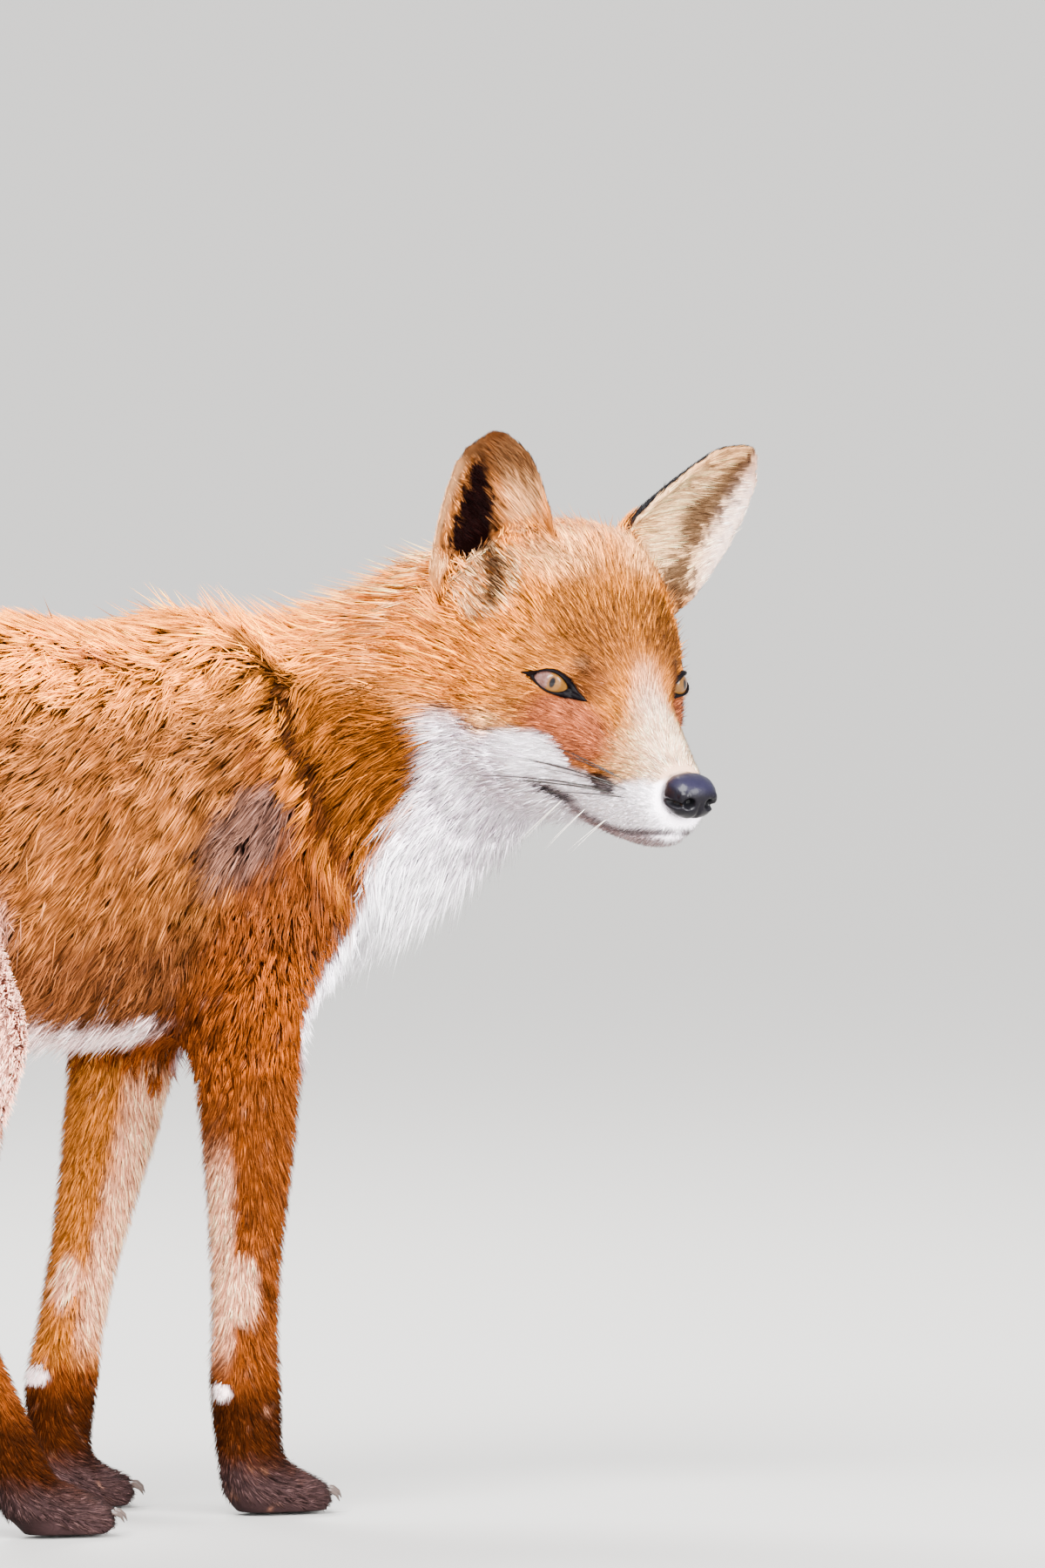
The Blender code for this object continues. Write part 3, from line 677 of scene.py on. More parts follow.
# and the crease behind the shoulder
CREASE = [(0.206, 0.350), (0.199, 0.334), (0.192, 0.319), (0.187, 0.301), (0.182, 0.276), (0.196, 0.250)]
SIDE = middle("trunk")[1]      # the body's middle, across it
KNEE = (0.060, SIDE - 0.066, 0.222)      # of the hind leg that is drawn forward


def toned(colours, name, share, strength=1.0):
    """Blends rows of colours towards one of the coat's, by a share for each row."""
    return mix(colours, COAT[name] * strength, share)


def plain(name, points):
    """Rows of one of the coat's colours."""
    return np.tile(COAT[name], (len(points), 1))


def beside(points, line):
    """Distance in the side view from a line of (x, z) places."""
    corners = np.array(line)
    place = points[:, [0, 2]]
    best = np.full(len(points), 1e9)
    for start, end in zip(corners[:-1], corners[1:]):
        way = end - start
        share = np.clip((place - start) @ way / (way @ way), 0, 1)
        best = np.minimum(best, np.linalg.norm(place - start - share[:, None] * way, axis=1))
    return best


def loft_of_coat(points, labels):
    """How high the coat stands for its depth: low in the folds, full on the collar."""
    below = step(beside(points + (-0.004, 0, 0.004), COLLAR), 0.011, 0.003)
    above = step(beside(points + (0.008, 0, -0.006), COLLAR), 0.014, 0.004)
    crease = step(beside(points, CREASE), 0.009, 0.002)
    return 1 + (0.18 * above - 0.50 * below - 0.35 * crease) * part_of(labels, ["trunk", "neck"])


def with_collar(colours, points, normals):
    """Lays the collar's end over colours: a golden lobe that hangs over the shoulder beside the throat."""
    x, _, z = points.T
    front = np.interp(z, [0.300, 0.322, 0.345, 0.362], [0.288, 0.299, 0.297, 0.285])
    rear = np.interp(z, *np.array(COLLAR[::-1]).T[::-1])
    across = step(x - front, 0.003, -0.003) * step(x - rear, -0.001, 0.005)
    lobe = across * step(z, 0.300, 0.307) * step(z, 0.385, 0.360)
    return toned(colours, "golden", lobe * (normals[:, 1] < 0.2), 0.52)


def flank_colour(points, wobble, streak):
    """Tawny flanks with dark hair drawn through, bright on the back, chestnut and painted shade low down,
    red before.
    """
    x, _, z = points.T
    drawn = ripple(points * (0.45, 1, 1) + points[:, 2:] * (0.25, 0, 0), 0.0065, 2.0)
    low = step(z + 0.012 * wobble, 0.275, 0.245) * step(x, 0.060, 0.100)
    elbow_shade = step(x, 0.105, 0.150) * step(z + 0.008 * wobble, 0.270, 0.245)
    shoulder = step(x + 0.010 * wobble + 0.25 * (0.33 - z), 0.205, 0.232) * step(z, 0.385, 0.360)
    upper_leg = step(x, 0.190, 0.225) * step(z + 0.008 * wobble, 0.262, 0.235)
    colour = plain("tawny", points)
    colour = toned(colour, "fawn", 0.50 * step(streak + 0.5 * wobble, -0.6, 0.9))
    colour = toned(colour, "umber", 0.53 * step(drawn + 0.4 * wobble, 0.10, 0.90))
    colour = toned(colour, "apricot", 0.85 * step(z + 0.010 * wobble, 0.350, 0.388))
    colour = toned(colour, "chestnut", 0.75 * low)
    # painted shade low on the flank behind the foreleg
    colour = toned(colour, "umber", 0.40 * low * elbow_shade)
    colour = toned(colour, "russet", 0.90 * shoulder)
    return toned(colour, "brick", 0.75 * upper_leg)


def with_grey_patches(colour, points, wobble):
    """Lays a streaky grey patch behind each shoulder."""
    tilted = points + (points[:, 2:] - 0.303) * (-0.5, 0, 0)
    streaky = 0.5 + 0.5 * ripple(points * (1, 1, 0.5), 0.006, 8.0)
    for out in (-1, 1):
        grey = around(tilted, (0.216, SIDE + out * 0.062, 0.303), (0.042, 0.050, 0.038))
        uneven = grey + 0.35 * wobble + 0.25 * (streaky - 0.5)
        colour = toned(colour, "grey", 0.75 * step(uneven, 0.05, 0.95), 1.15)
        colour = toned(colour, "umber", 0.55 * streaky * step(grey + 0.2 * wobble, 0.2, 0.8))
    return colour


def with_fold_shade(colour, points):
    """Paints shade into the fold under the collar and the crease behind the shoulder."""
    broken = 0.70 + 0.30 * ripple(points * (1, 1, 0.5), 0.008, 4.0)
    # painted shade in the fold under the collar
    fold = step(beside(points + (0.008, 0, 0), COLLAR), 0.020, 0.005)
    fold = fold + 0.6 * step(beside(points, COLLAR[:3]), 0.034, 0.008)
    below_back = step(points[:, 2], 0.404, 0.390)
    colour = toned(colour, "umber", np.clip(0.90 * fold * broken, 0, 0.92) * below_back)
    # painted shade in the crease behind the shoulder
    return toned(colour, "umber", 0.55 * step(beside(points, CREASE), 0.009, 0.001))


def trunk_colour(_, points, normals, wobble):
    """The trunk: flanks, patches, painted shade in the folds, pale beneath and on the thighs, white on the
    chest.
    """
    x, y, z = points.T
    streak = ripple(points * (0.5, 1, 1.6), 0.020, 5.0)
    colour = flank_colour(points, wobble, streak)
    colour = with_grey_patches(colour, points, wobble)
    colour = with_fold_shade(colour, points)
    # pale beneath, where the belly turns under and along its lower edge
    under = step(normals[:, 2] + 0.14 * wobble, -0.66, -0.94)
    under = np.clip(under + step(z + 0.007 * wobble + 0.004 * streak, 0.224, 0.206), 0, 1)
    reach = step(x, -0.16, -0.12) * step(x, 0.205, 0.190)
    facing = step(normals[:, 2] + 0.22 * wobble + 0.12 * streak, 0.1, -0.45)
    colour = toned(colour, "belly", 0.80 * under * reach * facing)
    # front edges of the thighs, paler than the flank
    thigh = around(points, KNEE, (0.032, 0.052, 0.082))
    thigh += around(points, (-0.020, SIDE + 0.055, 0.235), (0.035, 0.040, 0.070))
    colour = toned(colour, "thigh", 0.95 * np.clip(thigh * 1.3, 0, 1))
    # white of the chest, bounded by the same line on both sides
    edge = np.interp(z, [0.215, 0.242, 0.259, 0.276, 0.302, 0.328, 0.355],
                     [0.250, 0.262, 0.280, 0.294, 0.294, 0.300, 0.300])
    narrow = step(np.abs(y - SIDE), 0.080, 0.062) * step(z, 0.190, 0.215)
    colour = toned(colour, "white", step(x - edge + 0.003 * wobble, -0.004, 0.004) * narrow)
    colour = with_collar(colour, points, normals)
    # a small parting with reddened hair on the right of the back
    sore = around(points, (0.142, 0.038, 0.388), (0.024, 0.020, 0.008)) * (ripple(points, 0.006, 6.0) > -0.1)
    return toned(colour, "sienna", 0.8 * sore, 0.55)


def neck_colour(_, points, normals, wobble):
    """The neck: golden above, white beneath, the white climbing the sides towards the cheeks."""
    x, _, z = points.T
    heading, share = along(points, NECK_LINE)
    sideways = np.cross(np.tile((0.25, -0.35, -1.0), (len(points), 1)), heading)
    beneath = unit(np.cross(heading, sideways))
    angle = np.degrees(np.arccos(np.clip(np.sum(normals * beneath, axis=1), -1, 1)))
    bound = np.interp(share, [0.0, 0.30, 0.42, 0.62, 0.80, 1.0], [92, 80, 62, 56, 56, 56])
    height = z + 0.012 * wobble
    colour = toned(plain("golden", points), "ochre", step(height, 0.330, 0.352))
    colour = toned(colour, "apricot", step(height, 0.356, 0.398))
    colour = toned(colour, "peach", 0.60 * step(share, 0.50, 0.10) * step(height, 0.345, 0.385))
    # painted shadow: a dark line on the neck along the collar's lower edge
    collar_shadow = step(beside(points, COLLAR), 0.007, 0.001)
    colour = toned(colour, "umber", 0.75 * collar_shadow * step(z, 0.398, 0.385))
    colour = toned(colour, "white", step(angle + 8 * wobble, bound + 6, bound - 6))
    # the throat is white below this line
    line = np.interp(x, [0.270, 0.290, 0.300, 0.312, 0.360], [0.200, 0.275, 0.298, 0.318, 0.335])
    colour = toned(colour, "white", step(z + 0.003 * wobble, line + 0.003, line - 0.003))
    colour = with_collar(colour, points, normals)
    broken = ripple(points * (1, 1, 0.6), 0.009, 3.0)
    shaded = step(z + 0.010 * wobble, 0.290, 0.325) * step(broken, -0.5, 0.6)
    return toned(colour, "lilac", 0.90 * shaded * step(colour.min(1), 0.5, 0.85))


def tail_colour(_, points, normals, wobble):
    """The brush: russet with dark-tipped hair, then a white end."""
    _, run = along(points, TAIL_LINE)
    colour = toned(plain("tawny", points), "russet", 0.5 + 0.5 * wobble)
    dark = 0.50 * step(run + 0.03 * wobble, 0.45, 0.72) + 0.25 * step(wobble, 0.1, 0.8)
    colour = toned(colour, "umber", dark)
    return toned(colour, "white", step(run + 0.025 * wobble, 0.78, 0.84))


def limb_colour(name, points, normals, wobble):
    """A leg or foot: brick red in front and outside, pale behind and inside, a dark wrist and plum toes."""
    z = points[:, 2]
    right = "right" in name
    colour = toned(plain("brick", points), "russet", 0.4 + 0.4 * wobble)
    # painted light: the left foreleg lies in the body's shadow, so its red is lightened towards amber
    if name == "foreleg_left":
        colour = toned(colour, "amber", np.full(len(points), 0.55))
    if name in ("foreleg_left", "forepaw_left"):
        pale = step(normals @ np.array((0.45, -0.89, 0)) + 0.12 * wobble, 0.48, 0.88) * step(z, 0.215, 0.180)
    else:
        pale = step(normals[:, 1] * (1 if right else -1) + 0.15 * wobble, 0.45, 0.90)
    behind = step(-normals[:, 0] + 0.16 * wobble, 0.72, 0.98) * step(z, 0.175, 0.145)
    behind = behind * (name != "foreleg_left")
    colour = toned(colour, "blush", 0.85 * np.maximum(pale, behind) * step(z, 0.060, 0.090))
    colour = toned(colour, "cocoa", 0.85 * step(z + 0.005 * wobble, 0.072, 0.045))
    colour = toned(colour, "plum", step(z + 0.004 * wobble, 0.030, 0.014))
    if "hind" in name:
        return colour
    # a pale spot above each wrist, and the small pad behind it
    wrist = end_of("foreleg_right" if right else "foreleg_left", 2, -1)
    spot = around(points, wrist + (-0.012, -0.010, 0.034), (0.016, 0.018, 0.022))
    colour = toned(colour, "blush", 0.85 * step(spot + 0.3 * wobble, 0.1, 0.7))
    pad = around(points, wrist + (-0.0185, -0.002 if right else 0.002, -0.011), (0.010, 0.013, 0.0056))
    return toned(colour, "wrist_pad", step(pad, 0.1, 0.6))


class FacePlaces:
    """Places on the head as its markings read them, and the noises that break their edges."""

    def __init__(self, points, wobble):
        self.row = points
        self.local = Head.local(points)
        self.x, self.y, self.z = self.local.T
        self.flat = folded(self.local)
        self.wide = self.flat[:, 1]
        self.wobble = wobble
        self.grizzle = 0.5 + 0.5 * ripple(points, 0.0045, 4.0)
        self.fine = ripple(points * (1, 1, 0.7), 0.0030, 9.0)
        self.hairy = ripple(points * (1, 1, 0.6), 0.0017, 4.0)

    def spot(self, centre, radii):
        """1 in the middle of a spot on both sides of the head, falling to 0 at its edge."""
        return around(self.flat, centre, radii)


def forehead(at):
    """Amber, paler towards the crown and the cheeks, grizzled between the eyes."""
    face = plain("amber", at.row)
    face = toned(face, "apricot", 0.55 * step(at.x, -0.020, -0.060) + 0.3 * step(at.wide, 0.024, 0.040))
    face = toned(face, "peach", 0.55 * at.spot((-0.040, 0.010, 0.044), (0.030, 0.034, 0.020)), 0.8)
    grizzled = (0.4 + 0.6 * at.grizzle) * at.spot((0.008, 0.016, 0.018), (0.036, 0.026, 0.022))
    face = toned(face, "chestnut", 0.70 * grizzled)
    return toned(face, "sand", 0.60 * at.spot((0.013, 0.0265, 0.0120), (0.007, 0.006, 0.006)), 1.2)


def with_muzzle(face, at):
    """A pale bridge that widens to the nose, rust under the eyes and peach along the side."""
    half = np.interp(at.x, [0.020, 0.045, 0.070], [0.011, 0.016, 0.024])
    inside = step(at.wide + 0.003 * at.wobble - half, 0.0, -0.012)
    stripe = step(at.x + 0.004 * at.wobble, 0.018, 0.060) * inside
    face = toned(face, "bridge", 0.95 * stripe * step(at.z, -0.040, -0.022))
    under_eye = np.clip(1.4 * at.spot((0.017, 0.031, -0.018), (0.038, 0.024, 0.022)), 0, 1)
    face = toned(face, "sienna", 0.90 * under_eye)
    face = toned(face, "muzzle_side", 0.70 * step(at.x + 0.006 * at.fine, 0.030, 0.052))
    face = toned(face, "chestnut", 0.80 * at.spot((0.018, 0.023, 0.005), (0.020, 0.012, 0.014)))
    return toned(face, "peach", 0.30 * at.spot((-0.022, 0.050, -0.028), (0.016, 0.016, 0.010)))


def with_cheeks(face, at):
    """White lips and cheeks, under a fringe of fawn hair behind the mouth, shaded with lilac."""
    height = at.z - white_height(at.x)
    fades = 0.0040 + 0.0090 * step(at.x, -0.008, -0.040)       # the white fades in on the cheeks
    low_throat = step(at.z, -0.040, -0.046) * step(at.row[:, 0], 0.296, 0.303)
    white = step(height + 0.0020 * at.wobble, fades, -0.003)
    white = white * np.maximum(step(at.x + 0.003 * at.wobble, -0.056, -0.046), low_throat)
    fringe = step(height + 0.003 * at.wobble, 0.026, 0.006) * step(at.x, 0.004, -0.014)
    face = toned(face, "sand", 0.60 * fringe * step(at.fine + at.hairy, -0.9, 0.6), 1.2)
    face = toned(face, "white", white)
    shade = step(at.x, 0.010, -0.020) * step(ripple(at.row, 0.007, 3.0), -0.5, 0.6)
    return toned(face, "lilac", 0.55 * white * shade)


def with_brows(face, at):
    """Dark hair in the crown and the brows, and the fine parting behind the forehead."""
    crown = around(at.local, (-0.034, 0, 0.046), (0.030, 0.016, 0.020))
    face = toned(face, "umber", 0.30 * crown * at.grizzle)
    parting = step(at.wide + 0.0010 * at.fine, 0.0030, 0.0008) * step(at.x, -0.028, -0.036)
    face = toned(face, "umber", 0.50 * parting * step(at.z, 0.030, 0.038))
    brow = np.clip(at.spot((-0.004, 0.012, 0.026), (0.040, 0.034, 0.026)) * 1.3, 0, 1)
    return toned(face, "umber", 0.88 * brow * step(at.fine + at.hairy, -0.5, 0.7), 1.3)


# the dark notch in front of an ear's root, in the head's frame, on the left side
EAR_NOTCH = np.array([(-0.064, 0.040, 0.0420), (-0.045, 0.044, 0.0337), (-0.0405, 0.048, 0.0263)])


def with_ear_roots(face, at):
    """Pale hair in front of the ears, broken by dark hair and a dark maroon notch."""
    root = np.clip(1.3 * at.spot((-0.052, 0.0440, 0.0300), (0.026, 0.018, 0.026)), 0, 1)
    dots = [start * (1 - share) + end * share for start, end in zip(EAR_NOTCH[:-1], EAR_NOTCH[1:])
            for share in (0, 0.25, 0.5, 0.75, 1)]
    gap = np.min([np.linalg.norm(at.flat - dot, axis=1) for dot in dots], axis=0)
    face = toned(face, "ear_root", 0.88 * step(root, 0.05, 0.5) * step(at.fine, -0.5, 0.1))
    face = toned(face, "maroon", 0.9 * step(gap + 0.0018 * at.fine, 0.0062, 0.0034), 2)
    return toned(face, "umber", 0.8 * step(root, 0.1, 0.5) * step(at.fine, -0.2, -0.7), 0.5)


def with_mouth(face, at):
    """The black whisker pad, the line and corner of the lips, and the brown chin."""
    above = at.z - mouth_height(at.x)
    pad = at.spot((0.0385, 0.021, -0.0355), (0.0125, 0.012, 0.0072))
    face = toned(face, "black", 0.90 * step(pad + 0.25 * ripple(at.row, 0.005, 1.0), 0.15, 0.75))
    lips = np.exp(-(above / (0.0016 + 0.0022 * step(at.x, 0.052, 0.022))) ** 2)
    lips = lips * step(at.x, MOUTH_CORNER - 0.005, MOUTH_CORNER + 0.003)
    face = toned(face, "black", 0.80 * lips * step(at.wide, 0.0, 0.004))
    corner = at.spot((0.008, 0.024, -0.0515), (0.019, 0.014, 0.0040))
    face = toned(face, "black", 0.85 * step(corner, 0.1, 0.8))
    chin = at.spot((0.048, 0.008, -0.0580), (0.054, 0.024, 0.0130)) * step(above, -0.0004, -0.0022)
    return toned(face, "chin", 0.75 * step(chin + 0.2 * at.fine, 0.05, 0.6))


def face_colour(_, points, normals, wobble):
    """The head, from the forehead down to the chin, with dark hide round the eyes."""
    at = FacePlaces(points, wobble)
    face = forehead(at)
    for mark in (with_muzzle, with_cheeks, with_brows, with_ear_roots, with_mouth):
        face = mark(face, at)
    for side in ("right", "left"):
        place = Eye(side).local(points)
        near = np.linalg.norm(place, axis=1) < EYE_REACH
        face = toned(face, "black", step(rim_gap(place[:, 1], place[:, 2]), 0.0010, 0.0000) * near)
    return with_collar(face, points, normals)


# the hollow of each cup, darkened with painted shade: height along the ear, then its two edges across it in
# mm towards the crown
HOLLOWS = {
    "ear_right": [(0.00, 12, 13), (0.12, 10, 15), (0.24, -3, 15), (0.38, -5, 14), (0.53, -6.5, 10),
                  (0.64, -6.5, 6), (0.71, -5.5, 2), (0.76, -3, -2), (0.80, 3, -6)],
    "ear_left": [(0.02, -4, -1), (0.10, -7, 1), (0.19, -7, 2), (0.27, -5, -1), (0.33, -5, 0), (0.40, -7, 2),
                 (0.49, -8, 4), (0.58, -9, 3), (0.68, -9.5, 0), (0.78, -10, -2), (0.86, -10, -4),
                 (0.92, -8, -6)],
}


def right_cup(cup, high, across, gap, streaks, fine):
    """The near cup: golden hair with a brown tip, sand towards the crown, and painted maroon shade in its
    hollow.
    """
    cup = cup * 0.60 + COAT["amber"] * 0.40
    cup = toned(cup, "golden", 0.80 * step(gap, 0.012, 0.002))
    cup = toned(cup, "sand", 0.75 * step(streaks + fine, -0.1, 0.7) * step(across, 0.006, 0.016))
    cup = toned(cup, "umber", 0.70 * step(fine - streaks, 0.2, 0.9) * step(gap, 0.018, 0.004))
    cup = toned(cup, "umber", 0.90 * step(high + 0.06 * streaks - 4.0 * np.abs(across), 0.56, 0.76), 1.5)
    cup = toned(cup, "golden", 0.85 * step(across, 0.024, 0.032))
    cup = toned(cup, "sand", 0.80 * step(across, -0.007, -0.011) * step(high, 0.80, 0.70))
    cup = toned(cup, "golden", 0.75 * step(high, 0.16, 0.02))
    # painted shade in the hollow of the cup
    return toned(cup, "maroon", step(gap, 0.0030, -0.0016))


def left_cup(cup, high, across, gap, streaks, fine):
    """The far cup: pale hair, white at its lower edge, amber at its root, with painted brown shade in its
    hollow.
    """
    cup = toned(cup, "white", 0.40 * step(across, -0.004, -0.014), 0.75)
    cup = toned(cup, "amber", 0.60 * step(across, 0.008, 0.020) * step(high, 0.55, 0.20))
    cup = toned(cup, "fawn", 0.45 * step(high + 0.05 * fine, 0.66, 0.90))
    cup = toned(cup, "chestnut", 0.22 * step(streaks, 0.1, 0.8))
    cup = toned(cup, "golden", 0.75 * step(high, 0.16, 0.02))
    # painted shade in the hollow of the cup
    return toned(cup, "cocoa", 0.88 * step(gap, 0.0030, -0.0016), 1.6)


def ear_colour(name, points, normals, wobble):
    """An ear: black velvet behind, and a cup of pale hair with painted shade in its hollow."""
    right = name == "ear_right"
    high, across, inward = Ear(name).measures(points, normals)
    rows = np.array(HOLLOWS[name])
    low_edge, high_edge = (np.interp(high, rows[:, 0], rows[:, k]) / 1000 for k in (1, 2))
    streaks = ripple(points * (1, 1, 0.35), 0.0046, 7.0)
    fine = ripple(points * (1, 1, 0.5), 0.0026, 3.0)
    gap = np.maximum(low_edge - across, across - high_edge) + 0.0030 * streaks + 0.0020 * fine
    cup = toned(plain("sand", points), "peach", (0.35 if right else 0.80) * step(fine, -1.2, 0.6), 0.9)
    cup = (right_cup if right else left_cup)(cup, high, across, gap, streaks, fine)
    back = toned(plain("golden", points), "black", step(high + 0.05 * wobble, 0.16, 0.40))
    return mix(back, cup, step(inward, -0.10, 0.25))


COLOUR_OF = {"head": face_colour, "neck": neck_colour, "trunk": trunk_colour,
             **dict.fromkeys(TAIL, tail_colour), **dict.fromkeys(LEGS + PAWS, limb_colour),
             **dict.fromkeys(EARS, ear_colour)}


def markings(points, normals, labels):
    """Colour of the coat at each place, the same for the skin and the tufts."""
    # makes the colours' edges uneven
    wobble = ripple(points, 0.021) * 0.5 + ripple(points, 0.008, 2.0) * 0.5
    colour = np.empty((len(points), 3))
    for name, colour_of in COLOUR_OF.items():
        on = labels == LABEL[name]
        if on.any():
            colour[on] = colour_of(name, points[on], normals[on], wobble[on])
    return np.clip(colour, 0, 1)


# ---------------------------------------------------------------- measures of the hair
# length and width of a tuft in metres, and tufts to the square metre
BODY_HAIR = (0.030, 0.00105, 38.4e4)
HAIR_OF_NODE = {"neck": (0.032, 0.00105, 44e4), **dict.fromkeys(LEGS, (0.0085, 0.00058, 88e4)),
                **dict.fromkeys(PAWS, (0.0060, 0.00060, 75e4)),
                **dict.fromkeys(TAIL, (0.048, 0.00125, 34e4))}


def trunk_hair(points):
    """Where the trunk's hair is shorter, and its measures there: later rows lie over earlier ones."""
    x, _, z = points.T
    low = z < 0.290
    knee = around(points, KNEE, (0.040, 0.060, 0.092)) > 0.12
    return [(low & ((x > 0.185) | (x < 0.040)), (0.013, 0.00075, 68e4)),      # upper legs
            (low & (x < 0.060) & (x > 0.010), (0.009, 0.00070, 75e4)),      # flank before the thigh
            (knee & (z > 0.12), (0.0070, 0.00062, 80e4)),
            ((z < 0.225) & (np.abs(x - 0.235) < 0.05), (0.013, 0.00085, 62e4))]      # elbows


def hair_measures(points, normals, labels):
    """Length and width of a tuft in metres, and tufts to the square metre, for each vertex."""
    hair = np.tile(BODY_HAIR, (len(points), 1))
    trunk = labels == LABEL["trunk"]
    for where, measures in trunk_hair(points):
        hair[trunk & where] = measures
    for name, measures in HAIR_OF_NODE.items():
        hair[labels == LABEL[name]] = measures

    head = labels == LABEL["head"]
    local = Head.local(points)
    back = step(local[:, 0], 0.060, -0.070)
    ruff = step(np.abs(local[:, 1]), 0.034, 0.052) * step(local[:, 0], -0.020, -0.060)
    face = np.stack([0.0042 + 0.0145 * back ** 1.1 + 0.008 * ruff, 0.00042 + 0.00022 * back,
                     190e4 - 110e4 * back ** 0.8], axis=1)
    hair[head] = face[head]
    for name in EARS:
        on = labels == LABEL[name]
        _, across, inward = Ear(name).measures(points, normals)
        inside = step(inward, -0.10, 0.25)
        crownward = step(across, -0.004, 0.006)
        ear = np.stack([0.0045 + (0.0030 + 0.0045 * crownward) * inside, np.full(len(points), 0.00046),
                        95e4 * (1 - inside) + inside * (85e4 + 30e4 * crownward)], axis=1)
        hair[on] = ear[on]

    # bare places: the nose, the opening of the eyes, and the soles
    bare = np.linalg.norm(local - NOSE_LOCAL, axis=1) < NOSE_REACH
    bare |= (points[:, 2] < 0.010) & (normals[:, 2] < -0.4)
    for side in ("right", "left"):
        bare |= over_eye(side, points, 0.0004)
    hair[bare, 2] = 0
    return hair


def over_eye(side, points, inside):
    """True where a point lies over an eye or its dark rim, by more than a margin inside the rim's edge."""
    place = Eye(side).local(points)
    return (np.linalg.norm(place, axis=1) < EYE_REACH) & (rim_gap(place[:, 1], place[:, 2]) < -inside)


def fringe_share(points, normals, labels):
    """Share of the tufts that stand out from the rest: most under the throat, on the chest and the belly."""
    along_head = Head.local(points)[:, 0]
    trunk, neck, head = (labels == LABEL[name] for name in ("trunk", "neck", "head"))
    share = np.full(len(points), 0.005)
    share += 0.30 * (neck | trunk) * step(normals[:, 2], -0.10, -0.60)
    share += 0.12 * trunk * step(normals[:, 0], 0.35, 0.80)
    share += 0.24 * neck * step(normals[:, 2], 0.25, 0.75)
    share += 0.14 * head * step(along_head, 0.045, 0.010) * step(normals[:, 2], -0.40, -0.85)
    share += 0.07 * head * step(along_head, 0.020, -0.010)
    share += 0.05 * part_of(labels, LEGS) * step(-normals[:, 0], 0.55, 0.90)
    return share + 0.05 * part_of(labels, TAIL)


def clear_of_bare_hide(points):
    """False where a point lies over an eye, the dark hide round it, or the nose."""
    clear = np.linalg.norm(Head.local(points) - NOSE_LOCAL, axis=1) > NOSE_REACH * 0.98
    for side in ("right", "left"):
        clear &= ~over_eye(side, points, 0.0005)
    return clear


# ---------------------------------------------------------------- tufts
PATCH = 0.0015       # half the width of a tuft's patch on the unwrap
ROOT_DEPTH = 0.0006      # of a tuft's root under the skin
FLOOR_GAP = 0.0006      # the least height of any hair
RING = ((1, 2), (2, 0), (0, 1))      # corners of a tuft's section: 0 left, 1 right, 2 top


class Pelt:
    """The finished skin as the coat reads it."""

    def __init__(self, skin):
        mesh = skin.data
        self.points, self.normals = points_of(mesh), normals_of(mesh)
        corners = np.empty(len(mesh.polygons) * 3, np.int32)
        mesh.polygons.foreach_get("vertices", corners)
        self.faces = corners.reshape(-1, 3)
        self.lie = read(mesh, "lie", "vector", 3)
        self.hair = read(mesh, "hair", "vector", 3)
        self.depth = read(mesh, "coat_depth", "value", 1)[:, 0]
        self.node = np.rint(read(mesh, "flesh_node", "value", 1)[:, 0]).astype(int)
        spread = np.empty(len(corners) * 2, np.float32)
        mesh.uv_layers["OFBake"].uv.foreach_get("vector", spread)
        self.spread = spread.reshape(-1, 3, 2)
        a, b, c = (self.points[self.faces[:, k]] for k in range(3))
        self.area = np.linalg.norm(np.cross(b - a, c - a), axis=1) / 2
        self.middle = (a + b + c) / 3
        self.tree = BVHTree.FromPolygons(self.points.tolist(), self.faces.tolist())
        self.face_normal = unit(self.normals[self.faces].mean(1))
        self.face_lie = unit(self.lie[self.faces].mean(1))
        self.face_depth = self.depth[self.faces].mean(1)
        self.face_loft = read(mesh, "coat_loft", "value", 1)[:, 0][self.faces].mean(1)
        self.face_node = self.node[self.faces[:, 0]]

    def nearest(self, points):
        """The nearest place on the skin to each point, and the face it is on."""
        find = self.tree.find_nearest
        places, faces = np.empty_like(points), np.empty(len(points), int)
        for k, point in enumerate(points):
            hit = find(point)
            places[k], faces[k] = hit[0], hit[2]
        return places, faces

    def height_before(self, eye, across, up):
        """How far in front of an eye's centre the skin lies, along the gaze."""
        start = eye.world((0.040, across, up))[0]
        hit = self.tree.ray_cast(Vector(start), Vector(-eye.axes[0]), 0.060)
        return 0.0 if hit[0] is None else 0.040 - hit[3]


class Roots:
    """Places of tufts, spread evenly over a part of the skin, and what the skin says at each."""

    def __init__(self, pelt, mask, rng, fullness, most):
        faces = np.nonzero(mask)[0]
        wanted = pelt.area[faces] * pelt.hair[pelt.faces[faces], 2].mean(1) * fullness
        self.count = int(min(wanted.sum(), most))
        passed = np.cumsum(wanted)
        picks = (np.arange(self.count) + rng.random(self.count)) / self.count * passed[-1]
        face = faces[np.minimum(np.searchsorted(passed, picks), len(faces) - 1)]
        u = np.sqrt(rng.random(self.count))
        v = rng.random(self.count)
        weights = np.stack([1 - u, u * (1 - v), u * v], axis=1)[:, :, None]
        corner = pelt.faces[face]
        self.place = (pelt.points[corner] * weights).sum(1)
        self.normal = unit((pelt.normals[corner] * weights).sum(1))
        self.lie = unit((pelt.lie[corner] * weights).sum(1))
        self.depth = (pelt.depth[corner] * weights[:, :, 0]).sum(1)
        self.length, self.width, _ = (pelt.hair[corner] * weights).sum(1).T
        self.spread = (pelt.spread[face] * weights).sum(1)
        self.node = pelt.node[corner[:, 0]]


